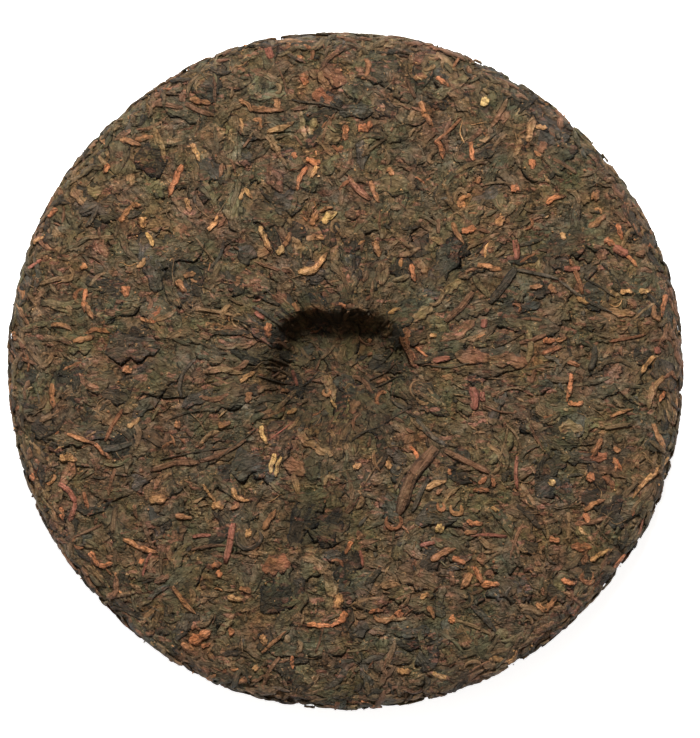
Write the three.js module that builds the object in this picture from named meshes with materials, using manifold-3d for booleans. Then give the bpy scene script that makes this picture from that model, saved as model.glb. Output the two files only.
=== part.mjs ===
// A pu erh tea cake of 357 g: steamed whole leaf pressed into a disc 200 mm across. It lies on its domed
// front, with its back up, so that the hollow left by the knot of the pressing bag is open to the top. It is
// one solid: a compact with leaf-sized bumps, and the larger stems, buds and leaves that stand out fused on.
import * as THREE from "three";
import { mergeVertices } from "three/addons/utils/BufferGeometryUtils.js";
import Module from "manifold-3d";

const wasm = await Module();
wasm.setup();

// Sizes in mm. The origin is the middle of the foot, on the table. +Y runs to the steep side of the hollow.
const RIM_RADIUS = 99.7;
const RIM_HEIGHT = 12.5;
const FOOT_RADIUS = 26;
const DOME_POWER = 2.1;
const BACK_RISE = 8.6;
const SHOULDER_POWER = 9;
const CROWN_RISE = 1.9;
const CROWN_RADIUS = 37;
const CROWN_WIDTH = 30;

// The hollow: its middle, how its lip wanders from a circle, how wide its wall is, and how much steeper that is
// towards WALL_TURN, a little to the left of +Y.
const HOLLOW_X = -0.8;
const HOLLOW_Y = -1;
const HOLLOW_DEPTH = 12;
const LIP_RADIUS = 23.1;
const LIP_WAVES = [
  { count: 1, size: 1, turn: -2.16 },
  { count: 2, size: 1.5, turn: 0.95 },
  { count: 3, size: 0.3, turn: 0.7 },
  { count: 4, size: 0.9, turn: -1.9 },
];
const WALL_WIDTH = 10.6;
const WALL_LEAN = 5.4;
const WALL_TURN = 2;
const PLEATS = 11;
const PLEAT_SWAY = { count: 3, size: 2 };
const PLEAT_HEIGHT = 0.45;
const PLEAT_RADIUS = 17;
const PLEAT_SPREAD = 9;

// How uneven the pressing left it. The bumps are ridges and dents of a leaf's size.
const SEED = 357;
const OUTLINE_WAVES = [
  { count: 2, size: 0.0058, turn: -2.74 },
  { count: 3, size: 0.0025, turn: 1 },
  { count: 8, size: 0.0016, turn: -1.2 },
  { count: 11, size: 0.0012, turn: -0.6 },
];
const BUMP_HEIGHT = [-0.7, 0.85];
const BUMP_FADE = 9;
const BUMPS_ON_BACK = 420;
const BUMPS_ON_FRONT = 300;
const BUMP_LENGTH = [6, 12];
const BUMP_WIDTH = [2.6, 4.2];

// The bare compact is an icosphere pressed flat, with this share of its skin on the back.
const SPHERE_DETAIL = 17;
const BACK_SHARE = 0.6;
const WAY_STEPS = 500;
const NEARBY = 0.15;
const SLIVER = 0.05;
const WELD = 1e-4;

// Pieces that stand out of the skin: half width, height above the skin and depth below it.
const PIECES = {
  bud: { halfWidth: 0.95, height: 0.85, depth: 0.7, tip: 0.45, steps: 4 },
  stem: { halfWidth: 1.0, height: 0.9, depth: 0.7, tip: 0.85, steps: 3 },
  broadStem: { halfWidth: 2.0, height: 1.1, depth: 0.7, tip: 0.9, steps: 3 },
  leaf: { halfWidth: 2.1, height: 0.7, depth: 0.7, tip: 0.4, steps: 3 },
};
const TOP_NARROWING = 0.55;
const END_DIP = 0.8;
const NEARLY_STRAIGHT = 1e-6;

// The stems, buds and leaves that show best on the back: kind, x, y, heading and length, and how many degrees
// each bends from end to end. Headings are in degrees from +X.
const SHOWN_PIECES = [
  ["broadStem", 20.6, -32.3, 62, 22.5, 0],
  ["stem", 36, -27.2, -27, 14.5, 8],
  ["leaf", 77.5, 1, 70, 10.5, 60],
  ["leaf", 22.5, 8, -60, 12, 10],
  ["bud", -9.2, 31.2, 40, 11, 70],
  ["stem", -45.4, 77.8, -11, 23, 14],
  ["bud", -50, 56.5, 64, 10, 20],
  ["stem", -33.6, -53.2, 79, 15.6, 6],
  ["stem", -47.2, -67.9, -49, 11.2, 0],
  ["stem", -62.1, -51.8, -27, 14.8, 20],
  ["bud", -54, -38.2, 0, 6, 0],
  ["bud", -76, 20.2, -73, 9.6, -18],
  ["stem", -74.6, 10.7, 20, 11.8, 0],
  ["bud", 82.3, -31.5, 45, 16, 20],
  ["bud", 82.6, 36, -40, 12, 10],
  ["bud", 68.5, -5.4, -70, 11, 95],
  ["bud", 39, -62.5, -25, 8.5, 120],
  ["stem", -13.5, -75.4, -2, 12.4, -8],
  ["bud", 46.5, -84, 8, 9.6, 75],
  ["leaf", -19.5, -58.2, -12, 10, 20],
  ["leaf", 34.4, 11.3, 22, 11, 0],
  ["leaf", -7, 81, -30, 7.6, 0],
];

const BACK = 1;
const FRONT = -1;

// What else stands out: face, kind, how many, and the shortest and longest. The rim has leaves of its own.
const SCATTERED_PIECES = [
  { face: BACK, kind: "bud", count: 10, length: [5, 11] },
  { face: BACK, kind: "leaf", count: 10, length: [8, 14] },
  { face: FRONT, kind: "bud", count: 9, length: [5, 11] },
  { face: FRONT, kind: "leaf", count: 9, length: [8, 14] },
];
const SCATTERED_FROM = { [BACK]: 34, [FRONT]: 58 };
const MOST_BEND = 80;
const RIM_LEAVES = 20;
const RIM_BAND = 7;
const RIM_LEAF_LENGTH = [9, 15];
const RIM_UNEVENNESS = 0.3;
const RIM_ASKEW = 14;

// The draws are seeded, so that the cake is the same each time.
const { clamp, degToRad, lerp, seededRandom, smoothstep } = THREE.MathUtils;
seededRandom(SEED);
const drawBetween = (low, high) => lerp(low, high, seededRandom());

function waveSum(waves, turn) {
  return waves.reduce((sum, wave) => sum + wave.size * Math.sin(wave.count * turn + wave.turn), 0);
}

// How far the hollow is cut at a point of the back, from 0 outside its lip to 1 on its floor, and its pleats.
function hollowAt(x, y) {
  const radius = Math.hypot(x - HOLLOW_X, y - HOLLOW_Y);
  const turn = Math.atan2(y - HOLLOW_Y, x - HOLLOW_X);
  const lip = LIP_RADIUS + waveSum(LIP_WAVES, turn);
  const wall = WALL_WIDTH - WALL_LEAN * Math.cos(turn - WALL_TURN);
  const share = smoothstep(lip - radius, 0, wall);
  const ring = Math.exp(-(((radius - PLEAT_RADIUS) / PLEAT_SPREAD) ** 2));
  const pleat = ring * Math.sin(PLEATS * turn + PLEAT_SWAY.size * Math.sin(PLEAT_SWAY.count * turn));
  return { share, pleat };
}

function backHeight(x, y) {
  const radius = Math.min(Math.hypot(x, y), RIM_RADIUS);
  const shoulder = Math.sqrt(1 - (radius / RIM_RADIUS) ** SHOULDER_POWER);
  const crown = CROWN_RISE * Math.exp(-(((radius - CROWN_RADIUS) / CROWN_WIDTH) ** 2));
  const { share, pleat } = hollowAt(x, y);
  return RIM_HEIGHT + BACK_RISE * shoulder + crown - HOLLOW_DEPTH * share + PLEAT_HEIGHT * pleat;
}

function frontHeight(radius) {
  const share = clamp((radius - FOOT_RADIUS) / (RIM_RADIUS - FOOT_RADIUS), 0, 1);
  return RIM_HEIGHT * (1 - Math.sqrt(1 - share ** DOME_POWER));
}

// The way from the middle of a face out to the rim, measured along the skin.
function wayToRim(face) {
  const stations = [];
  let walked = 0;
  for (let i = 0; i <= WAY_STEPS; i++) {
    const radius = RIM_RADIUS * Math.sin((Math.PI / 2) * (i / WAY_STEPS));
    const height = face === BACK ? backHeight(radius, 0) : frontHeight(radius);
    if (i) walked += Math.hypot(radius - stations[i - 1].radius, height - stations[i - 1].height);
    stations.push({ walked, radius, height });
  }
  return stations;
}

const ways = { [BACK]: wayToRim(BACK), [FRONT]: wayToRim(FRONT) };
const reach = { [BACK]: ways[BACK].at(-1).walked, [FRONT]: ways[FRONT].at(-1).walked };

// Looks up one column of a way by another, between its stations.
function lookUp(way, from, to, value) {
  let low = 0;
  let high = way.length - 1;
  while (high - low > 1) {
    const middle = (low + high) >> 1;
    if (way[middle][from] > value) high = middle;
    else low = middle;
  }
  const share = (value - way[low][from]) / (way[high][from] - way[low][from]);
  return lerp(way[low][to], way[high][to], clamp(share, 0, 1));
}

// A point of the skin from its place on the flattened map of one face. Past the rim it is on the other face.
function skinPoint(face, u, v) {
  const walked = Math.hypot(u, v);
  const turn = Math.atan2(v, u);
  const over = walked > reach[face];
  const side = over ? -face : face;
  const onSide = over ? reach[side] - (walked - reach[face]) : walked;
  const radius = lookUp(ways[side], "walked", "radius", onSide);
  const x = radius * Math.cos(turn);
  const y = radius * Math.sin(turn);
  const height = side === BACK ? backHeight(x, y) : frontHeight(radius);
  const spread = 1 + waveSum(OUTLINE_WAVES, turn) * (radius / RIM_RADIUS) ** 2;
  return new THREE.Vector3(x * spread, y * spread, height);
}

function skinNormal(face, u, v) {
  const alongU = skinPoint(face, u + NEARBY, v).sub(skinPoint(face, u - NEARBY, v));
  const alongV = skinPoint(face, u, v + NEARBY).sub(skinPoint(face, u, v - NEARBY));
  return alongU.cross(alongV).multiplyScalar(face).normalize();
}

// A drawn place on the map of a face, spread evenly by area from one distance to another.
function drawPlace(face, from, to) {
  const walked = Math.sqrt(drawBetween(from * from, to * to));
  const turn = drawBetween(0, 2 * Math.PI);
  return { u: walked * Math.cos(turn), v: walked * Math.sin(turn) };
}

function scatterBumps(face, count) {
  return Array.from({ length: count }, () => ({
    ...drawPlace(face, 0, reach[face]),
    heading: drawBetween(0, Math.PI),
    length: drawBetween(...BUMP_LENGTH),
    width: drawBetween(...BUMP_WIDTH),
    height: drawBetween(...BUMP_HEIGHT),
  }));
}

const bumpsOn = {
  [BACK]: scatterBumps(BACK, BUMPS_ON_BACK),
  [FRONT]: scatterBumps(FRONT, BUMPS_ON_FRONT),
};

// The bumps fade out towards the rim, where the faces meet, and towards the foot.
function bumpAt(face, u, v) {
  const walked = Math.hypot(u, v);
  let fade = smoothstep(reach[face] - walked, 0, BUMP_FADE);
  if (face === FRONT) fade *= smoothstep(walked, FOOT_RADIUS, FOOT_RADIUS + 2 * BUMP_FADE);
  let total = 0;
  for (const bump of bumpsOn[face]) {
    const cos = Math.cos(bump.heading);
    const sin = Math.sin(bump.heading);
    const along = ((u - bump.u) * cos + (v - bump.v) * sin) / bump.length;
    const across = ((v - bump.v) * cos - (u - bump.u) * sin) / bump.width;
    total += bump.height * Math.exp(-along * along - across * across);
  }
  return fade * total;
}

function weldedGeometry(geometry) {
  geometry.deleteAttribute("normal");
  geometry.deleteAttribute("uv");
  return mergeVertices(geometry, WELD);
}

function compactGeometry() {
  const geometry = weldedGeometry(new THREE.IcosahedronGeometry(1, SPHERE_DETAIL));
  const points = geometry.getAttribute("position");
  const direction = new THREE.Vector3();
  const equator = 1 - 2 * BACK_SHARE;
  for (let i = 0; i < points.count; i++) {
    direction.fromBufferAttribute(points, i);
    const face = direction.z >= equator ? BACK : FRONT;
    const share = face === BACK ? (1 - direction.z) / (1 - equator) : (1 + direction.z) / (1 + equator);
    const walked = reach[face] * Math.sqrt(Math.max(share, 0));
    const turn = Math.atan2(direction.y, direction.x);
    const u = walked * Math.cos(turn);
    const v = walked * Math.sin(turn);
    const point = skinPoint(face, u, v);
    point.addScaledVector(skinNormal(face, u, v), bumpAt(face, u, v));
    points.setXYZ(i, point.x, point.y, Math.max(point.z, 0));
  }
  return geometry;
}

// A straight bar of few sides, bent onto the skin about its middle place and heading. Its flanks lean in
// towards its top and its ends dip into the skin. bend is how far it turns from end to end.
function pieceGeometry({ kind, face, u, v, heading, length, bend }) {
  const { halfWidth, height, depth, tip, steps } = PIECES[kind];
  const section = new THREE.Shape([
    new THREE.Vector2(-halfWidth, -depth),
    new THREE.Vector2(halfWidth, -depth),
    new THREE.Vector2(halfWidth * TOP_NARROWING, height),
    new THREE.Vector2(-halfWidth * TOP_NARROWING, height),
  ]);
  const bar = new THREE.ExtrudeGeometry(section, { depth: length, steps, bevelEnabled: false });
  const geometry = weldedGeometry(bar);
  const points = geometry.getAttribute("position");
  const curve = bend / length || NEARLY_STRAIGHT;
  for (let i = 0; i < points.count; i++) {
    const along = points.getZ(i) - length / 2;
    const share = (2 * along) / length;
    const across = face * points.getX(i) * lerp(1, tip, share * share);
    const lift = points.getY(i) - END_DIP * share ** 4;
    const turned = curve * along;
    const forward = Math.sin(turned) / curve - across * Math.sin(turned);
    const sideways = (1 - Math.cos(turned)) / curve + across * Math.cos(turned);
    const placeU = u + forward * Math.cos(heading) - sideways * Math.sin(heading);
    const placeV = v + forward * Math.sin(heading) + sideways * Math.cos(heading);
    const point = skinPoint(face, placeU, placeV);
    point.addScaledVector(skinNormal(face, placeU, placeV), lift);
    points.setXYZ(i, point.x, point.y, Math.max(point.z, 0));
  }
  return geometry;
}

function shownPieces() {
  return SHOWN_PIECES.map(([kind, x, y, heading, length, bend]) => {
    const radius = Math.hypot(x, y);
    const stretch = lookUp(ways[BACK], "radius", "walked", radius) / radius;
    const place = { u: x * stretch, v: y * stretch };
    return { kind, face: BACK, ...place, heading: degToRad(heading), length, bend: degToRad(bend) };
  });
}

function scatteredPieces() {
  return SCATTERED_PIECES.flatMap(({ face, kind, count, length }) =>
    Array.from({ length: count }, () => ({
      kind,
      face,
      ...drawPlace(face, SCATTERED_FROM[face], reach[face] - RIM_BAND),
      heading: drawBetween(0, Math.PI),
      length: drawBetween(...length),
      bend: degToRad(drawBetween(-MOST_BEND, MOST_BEND)),
    })),
  );
}

// The rim's leaves lie round it, a few of them a little askew.
function rimPieces() {
  return Array.from({ length: RIM_LEAVES }, (_, i) => {
    const turn = (2 * Math.PI * (i + drawBetween(-RIM_UNEVENNESS, RIM_UNEVENNESS))) / RIM_LEAVES;
    const walked = reach[BACK] + drawBetween(-RIM_BAND, RIM_BAND);
    const length = drawBetween(...RIM_LEAF_LENGTH);
    return {
      kind: "leaf",
      face: BACK,
      u: walked * Math.cos(turn),
      v: walked * Math.sin(turn),
      heading: turn + Math.PI / 2 + degToRad(drawBetween(-RIM_ASKEW, RIM_ASKEW)),
      length,
      bend: length / RIM_RADIUS,
    };
  });
}

function solidFrom(geometry) {
  const mesh = new wasm.Mesh({
    numProp: 3,
    vertProperties: Float32Array.from(geometry.getAttribute("position").array),
    triVerts: Uint32Array.from(geometry.index.array),
  });
  return new wasm.Manifold(mesh);
}

function geometryFrom(solid) {
  const { vertProperties, triVerts } = solid.getMesh();
  const geometry = new THREE.BufferGeometry();
  geometry.setAttribute("position", new THREE.BufferAttribute(vertProperties, 3));
  geometry.setIndex(new THREE.BufferAttribute(triVerts, 1));
  geometry.computeVertexNormals();
  return geometry;
}

const compact = solidFrom(compactGeometry());
const pieces = [...shownPieces(), ...scatteredPieces(), ...rimPieces()];
const joined = pieces.reduce((solid, piece) => solid.add(solidFrom(pieceGeometry(piece))), compact);

// Pressed leaf has no hollows inside it, so only the outermost skin of what was joined is kept.
const bodies = joined.simplify(SLIVER).decompose();
const cake = bodies.reduce((kept, body) => (body.volume() > kept.volume() ? body : kept));

// The foot's middle is set under the middle of the whole outline.
const { min, max } = cake.boundingBox();
const centred = cake.translate([-(min[0] + max[0]) / 2, -(min[1] + max[1]) / 2, -min[2]]);

const pressedLeaf = new THREE.MeshStandardMaterial({ color: 0x5d4b38, roughness: 0.8, metalness: 0 });
const teaCake = new THREE.Mesh(geometryFrom(centred), pressedLeaf);
teaCake.name = "tea_cake";

const group = new THREE.Group();
group.add(teaCake);
export default group;
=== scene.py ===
"""Looks of a pu erh tea cake: its pressed leaves, buds and stalks, with the light and the camera.

The cake lies on its front with the hollow of its back up. A dark compact carries thousands of leaves that
are bent onto its skin, kind by kind. Shapes are worked out in millimetres and turned to metres last.
"""

from __future__ import annotations

import logging
import math
from dataclasses import dataclass, fields, replace
from enum import Enum
from functools import cached_property
from typing import Callable

import bmesh
import bpy
import numpy as np
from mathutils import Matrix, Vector


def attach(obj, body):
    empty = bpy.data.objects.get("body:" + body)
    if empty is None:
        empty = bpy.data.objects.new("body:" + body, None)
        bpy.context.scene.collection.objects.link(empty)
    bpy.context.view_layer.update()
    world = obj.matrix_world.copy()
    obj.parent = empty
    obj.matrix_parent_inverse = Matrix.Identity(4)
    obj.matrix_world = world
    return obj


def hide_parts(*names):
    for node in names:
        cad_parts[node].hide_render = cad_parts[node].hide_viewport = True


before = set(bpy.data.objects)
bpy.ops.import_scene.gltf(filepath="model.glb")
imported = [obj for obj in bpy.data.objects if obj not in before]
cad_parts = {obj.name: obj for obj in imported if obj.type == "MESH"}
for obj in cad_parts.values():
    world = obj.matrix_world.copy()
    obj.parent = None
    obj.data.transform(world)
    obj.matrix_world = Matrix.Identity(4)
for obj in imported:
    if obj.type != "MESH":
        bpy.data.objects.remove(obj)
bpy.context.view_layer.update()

LOG = logging.getLogger("tea_cake")
NODE = "tea_cake"
BODY = "root"
METRE = 0.001

Array = np.ndarray
Pair = tuple[float, float]
Colour = tuple[float, float, float]
Rgba = tuple[float, float, float, float]
Draws = np.random.Generator
Object = bpy.types.Object
Tree = bpy.types.NodeTree
Socket = bpy.types.NodeSocket
Sockets = bpy.types.bpy_prop_collection
Look = tuple[Socket, Socket, Socket, tuple[tuple[Socket, float], ...]]

UNIT = (0.0, 1.0)
FALL = (1.0, 0.0)
WHOLE_TURN = 2.0 * math.pi
GOLDEN_TURN = math.pi * (3.0 - math.sqrt(5.0))
TINY = 1e-6
SCREEN_FULL = 255
SCREEN_KNEE = 0.04045
SCREEN_SLOPE = 12.92
SCREEN_OFFSET = 0.055
SCREEN_POWER = 2.4


def from_screen(red: int, green: int, blue: int) -> Colour:
    """Turns a colour as a screen shows it, 0 to 255, into the linear one that a material takes."""

    def linear(share: float) -> float:
        """One channel by the screen's curve: straight near black, a power above."""
        if share <= SCREEN_KNEE:
            return share / SCREEN_SLOPE
        return ((share + SCREEN_OFFSET) / (1.0 + SCREEN_OFFSET)) ** SCREEN_POWER

    return tuple(linear(channel / SCREEN_FULL) for channel in (red, green, blue))


def smooth_step(value: Array, low: float | Array, high: float | Array) -> Array:
    """Rises smoothly from 0 at low to 1 at high."""
    share = np.clip((value - low) / (high - low), 0.0, 1.0)
    return share * share * (3.0 - 2.0 * share)


class Face(Enum):
    """The two faces of the cake. The back, with the hollow, is up."""

    BACK = 1
    FRONT = -1

    @property
    def other(self) -> "Face":
        """The face on the far side of the rim."""
        return Face.FRONT if self is Face.BACK else Face.BACK


@dataclass(frozen=True)
class Picture:
    """Where the photograph shows the cake, in its pixels."""

    width: int = 700
    height: int = 738
    column: float = 344.8
    row: float = 368.8
    pixel: float = 0.2951
    sharp_height: float = 12.5
    back_height: float = 22.0
    distance: float = 1300.0
    elevation: float = 86.5

    def plane(self, column: float, row: float) -> Pair:
        """The place in millimetres that a pixel of the picture shows, at the height of the rim."""
        return (column - self.column) * self.pixel, (self.row - row) * self.pixel

    def on_back(self, column: float, row: float) -> Pair:
        """The place over the table that a pixel shows on the back, which is higher than the rim."""
        x, y = self.plane(column, row)
        over = self.back_height - self.sharp_height
        nearer = 1.0 - over / self.distance
        return x * nearer, y * nearer - over / math.tan(math.radians(self.elevation))


@dataclass(frozen=True)
class Mark:
    """Something that the photograph shows: its ends in the picture's pixels, its width and its turn.

    The width is in millimetres. The turn is in radians, positive to the left on the way to the second end.
    """

    column: float
    row: float
    to_column: float
    to_row: float
    width: float
    turn: float = 0.0

    def ends(self, picture: Picture) -> tuple[Array, Array]:
        """Both ends over the table in millimetres."""
        first = picture.on_back(self.column, self.row)
        return np.array(first), np.array(picture.on_back(self.to_column, self.to_row))


@dataclass(frozen=True)
class Patch:
    """A darker or warmer part: its middle and its reach in the picture's pixels, and how strong it is."""

    column: float
    row: float
    reach: float
    strength: float

    def share(self, picture: Picture, x: Array, y: Array) -> Array:
        """How much of it each place over the table takes."""
        middle_x, middle_y = picture.on_back(self.column, self.row)
        away = np.hypot(x - middle_x, y - middle_y) / (self.reach * picture.pixel)
        return self.strength * np.exp(-(away**2))


DARK_PATCHES = (
    Patch(148, 158, 20, 0.34), Patch(448, 262, 22, 0.5), Patch(490, 290, 16, 0.25), Patch(312, 286, 16, 0.3),
    Patch(130, 355, 34, 0.18), Patch(165, 440, 30, 0.36), Patch(225, 425, 26, 0.3), Patch(245, 465, 20, 0.2),
    Patch(110, 500, 26, 0.2), Patch(315, 517, 30, 0.9), Patch(278, 598, 22, 0.5), Patch(330, 650, 16, 0.2),
    Patch(380, 435, 20, 0.38), Patch(410, 400, 9, 0.3), Patch(404, 306, 13, 0.5), Patch(590, 365, 14, 0.3),
    Patch(560, 500, 16, 0.25), Patch(640, 430, 18, 0.2), Patch(385, 140, 12, 0.3), Patch(350, 70, 12, 0.2),
    Patch(60, 290, 18, 0.2), Patch(180, 590, 18, 0.25), Patch(360, 690, 26, 0.2), Patch(155, 275, 14, 0.25),
    Patch(245, 252, 14, 0.32), Patch(570, 245, 22, 0.12), Patch(435, 517, 16, 0.14),
    Patch(480, 610, 16, 0.15), Patch(215, 570, 22, 0.22), Patch(270, 560, 18, 0.2), Patch(450, 62, 24, 0.2),
    Patch(600, 140, 26, 0.12), Patch(315, 360, 13, 0.3), Patch(120, 345, 16, 0.2), Patch(415, 170, 12, 0.3),
    Patch(320, 695, 24, 0.2),
)
WARM_PATCHES = (
    Patch(195, 95, 14, 0.8), Patch(300, 82, 10, 0.7), Patch(360, 125, 12, 1.0), Patch(310, 168, 10, 0.9),
    Patch(180, 185, 12, 0.8), Patch(140, 155, 8, 0.6), Patch(100, 195, 10, 0.6), Patch(320, 218, 14, 1.1),
    Patch(270, 245, 12, 1.1), Patch(317, 263, 11, 1.0), Patch(215, 222, 10, 0.7), Patch(465, 198, 16, 1.0),
    Patch(545, 95, 10, 0.7), Patch(425, 110, 11, 0.7), Patch(620, 245, 11, 0.9), Patch(500, 222, 10, 0.6),
    Patch(155, 322, 12, 0.9), Patch(60, 400, 12, 0.7), Patch(540, 360, 13, 0.8), Patch(560, 430, 10, 0.5),
    Patch(420, 450, 13, 0.8), Patch(600, 475, 11, 0.8), Patch(455, 500, 12, 0.7), Patch(485, 520, 9, 0.7),
    Patch(475, 575, 12, 1.2), Patch(340, 605, 10, 1.0), Patch(160, 496, 12, 0.9), Patch(100, 548, 12, 0.9),
    Patch(165, 560, 11, 0.8), Patch(200, 580, 9, 0.7), Patch(195, 640, 11, 0.9), Patch(272, 462, 11, 0.8),
    Patch(310, 445, 16, 0.8), Patch(640, 380, 11, 0.6), Patch(640, 330, 10, 0.6), Patch(420, 345, 13, 0.8),
)


@dataclass(frozen=True)
class Wave:
    """One harmonic round the cake."""

    count: int
    size: float
    turn: float


def wave_sum(waves: tuple[Wave, ...], turn: Array) -> Array:
    """Adds up harmonics at an angle round the cake.

    Args:
        waves: The harmonics.
        turn: Angles in radians.

    Returns:
        Their sum at each angle.
    """
    return sum(wave.size * np.sin(wave.count * turn + wave.turn) for wave in waves)


@dataclass(frozen=True)
class Way:
    """Stations on the way from the middle of a face out to the rim, measured along the skin."""

    walked: Array
    radius: Array

    @property
    def reach(self) -> float:
        """The whole way from the middle to the rim."""
        return float(self.walked[-1])


@dataclass(frozen=True)
class CakeForm:
    """The shape of the bare compact in millimetres, close to the solid's."""

    rim_radius: float = 99.7
    rim_height: float = 12.5
    foot_radius: float = 26.0
    dome_power: float = 2.1
    back_rise: float = 8.6
    shoulder_power: float = 9.0
    crown_rise: float = 1.9
    crown_radius: float = 37.0
    crown_width: float = 30.0
    hollow_x: float = -0.8
    hollow_y: float = -1.0
    hollow_depth: float = 12.0
    lip_radius: float = 22.5
    lip_waves: tuple[Wave, ...] = (
        Wave(1, 1.8, -2.55),
        Wave(2, 1.65, 1.2),
        Wave(3, 0.5, 1.45),
        Wave(4, 0.55, -1.7),
    )
    wall_width: float = 11.6
    wall_lean: float = 6.3
    wall_turn: float = 1.75
    pleats: int = 11
    pleat_height: float = 0.45
    pleat_radius: float = 17.0
    pleat_spread: float = 9.0
    pleat_sway: float = 2.0
    pleat_sways: float = 3.0
    outline_waves: tuple[Wave, ...] = (
        Wave(2, 0.0058, -2.74),
        Wave(3, 0.0025, 1.0),
        Wave(8, 0.0016, -1.2),
        Wave(11, 0.0012, -0.6),
    )
    way_steps: int = 500
    nearby: float = 0.15
    squash: float = 0.3
    swell_height: float = 0.16
    swell_waves: int = 26
    swell_lengths: Pair = (9.0, 38.0)
    swell_seed: int = 19
    swell_fade: float = 9.0
    swell_foot: float = 1.7
    # These place the shade painted into the hollow: some over its floor, the most on its west wall.
    hollow_shade_x: float = -2.1
    hollow_shade_y: float = 0.6
    hollow_shade_reach: float = 23.5
    hollow_shade_edge: float = 2.8
    hollow_shade_floor: float = 0.49
    hollow_shade_wall: float = 0.86
    hollow_shade_turn: float = 3.2
    hollow_shade_radius: float = 17.0
    hollow_shade_spread: float = 8.0
    hollow_shade_west: Pair = (0.45, 0.95)
    picture: Picture = Picture()
    patches: tuple[Patch, ...] = DARK_PATCHES
    warm_patches: tuple[Patch, ...] = WARM_PATCHES

    def hollow(self, x: Array, y: Array) -> tuple[Array, Array]:
        """How far the hollow is cut, from 0 outside its lip to 1 on its floor, and its pleats."""
        radius = np.hypot(x - self.hollow_x, y - self.hollow_y)
        turn = np.arctan2(y - self.hollow_y, x - self.hollow_x)
        lip = self.lip_radius + wave_sum(self.lip_waves, turn)
        wall = self.wall_width - self.wall_lean * np.cos(turn - self.wall_turn)
        share = smooth_step(lip - radius, 0.0, wall)
        ring = np.exp(-(((radius - self.pleat_radius) / self.pleat_spread) ** 2))
        return share, ring * np.sin(self.pleats * turn + self.pleat_sway * np.sin(self.pleat_sways * turn))

    def hollow_shade(self, x: Array, y: Array) -> Array:
        """The shade painted into the leaf of the hollow, from 0 outside it to its wall value on its west
        wall.
        """
        radius = np.hypot(x - self.hollow_shade_x, y - self.hollow_shade_y)
        turn = np.arctan2(y - self.hollow_shade_y, x - self.hollow_shade_x)
        floor = self.hollow_shade_floor * smooth_step(self.hollow_shade_reach - radius, -self.hollow_shade_edge, self.hollow_shade_edge)
        west = smooth_step(np.cos(turn - self.hollow_shade_turn), *self.hollow_shade_west)
        wall = np.exp(-(((radius - self.hollow_shade_radius) / self.hollow_shade_spread) ** 2))
        return floor + (self.hollow_shade_wall - self.hollow_shade_floor) * west * wall

    def patched(self, x: Array, y: Array) -> Array:
        """How dark and smooth the photograph shows each place of the back, from 0 to about 1."""
        return sum(patch.share(self.picture, x, y) for patch in self.patches)

    def warmed(self, x: Array, y: Array) -> Array:
        """How much more gold and rust the photograph shows at each place of the back, from 0 to about 1."""
        return sum(patch.share(self.picture, x, y) for patch in self.warm_patches)

    def back_height(self, x: Array, y: Array) -> Array:
        """Height of the back over the table."""
        radius = np.minimum(np.hypot(x, y), self.rim_radius)
        shoulder = np.sqrt(1.0 - (radius / self.rim_radius) ** self.shoulder_power)
        crown = self.crown_rise * np.exp(-(((radius - self.crown_radius) / self.crown_width) ** 2))
        share, pleat = self.hollow(x, y)
        height = self.rim_height + self.back_rise * shoulder + crown
        return height - self.hollow_depth * share + self.pleat_height * pleat

    def front_height(self, radius: Array) -> Array:
        """Height of the domed front over the table."""
        share = np.clip((radius - self.foot_radius) / (self.rim_radius - self.foot_radius), 0.0, 1.0)
        return self.rim_height * (1.0 - np.sqrt(1.0 - share**self.dome_power))

    @cached_property
    def ways(self) -> dict[Face, Way]:
        """The way to the rim on each face."""
        radius = self.rim_radius * np.sin(np.linspace(0.0, math.pi / 2, self.way_steps + 1))
        heights = {Face.BACK: self.back_height(radius, 0.0 * radius), Face.FRONT: self.front_height(radius)}
        steps = {face: np.hypot(np.diff(radius), np.diff(height)) for face, height in heights.items()}
        return {face: Way(np.concatenate([[0.0], np.cumsum(step)]), radius) for face, step in steps.items()}

    def on_map(self, x: float, y: float) -> Pair:
        """The place on the back's flattened map that lies over a point of the table."""
        radius = max(math.hypot(x, y), TINY)
        way = self.ways[Face.BACK]
        stretch = float(np.interp(radius, way.radius, way.walked)) / radius
        return x * stretch, y * stretch

    def skin(self, face: Face, u: Array, v: Array) -> Array:
        """Points of the bare skin.

        Args:
            face: The face whose flattened map is meant.
            u: Places on that map along X. Past the rim they are on the other face.
            v: Places on that map along Y.

        Returns:
            Points in millimetres, with their three coordinates last.
        """
        walked, turn = np.hypot(u, v), np.arctan2(v, u)
        here, there = self.ways[face], self.ways[face.other]
        over = walked > here.reach
        past = np.interp(there.reach + here.reach - walked, there.walked, there.radius)
        radius = np.where(over, past, np.interp(walked, here.walked, here.radius))
        x, y = radius * np.cos(turn), radius * np.sin(turn)
        on_back = over != (face is Face.BACK)
        height = np.where(on_back, self.back_height(x, y), self.front_height(radius))
        spread = 1.0 + wave_sum(self.outline_waves, turn) * (radius / self.rim_radius) ** 2
        return np.stack([x * spread, y * spread, height], axis=-1)

    def normal(self, face: Face, u: Array, v: Array) -> Array:
        """Outward normals of the bare skin at places on a face's map."""
        along_u = self.skin(face, u + self.nearby, v) - self.skin(face, u - self.nearby, v)
        along_v = self.skin(face, u, v + self.nearby) - self.skin(face, u, v - self.nearby)
        normal = face.value * np.cross(along_u, along_v)
        return normal / np.linalg.norm(normal, axis=-1, keepdims=True)

    @cached_property
    def swells(self) -> tuple[Array, Array, Array]:
        """Wave vectors, phases and sizes of the low unevenness of the pressed skin."""
        draws = np.random.default_rng(self.swell_seed)
        length = np.exp(draws.uniform(*np.log(self.swell_lengths), self.swell_waves))
        turn = draws.uniform(0.0, WHOLE_TURN, self.swell_waves)
        vectors = (WHOLE_TURN / length) * np.array([np.cos(turn), np.sin(turn)])
        size = self.swell_height * (length / self.swell_lengths[1]) ** 0.5
        return vectors.T, draws.uniform(0.0, WHOLE_TURN, self.swell_waves), size

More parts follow.
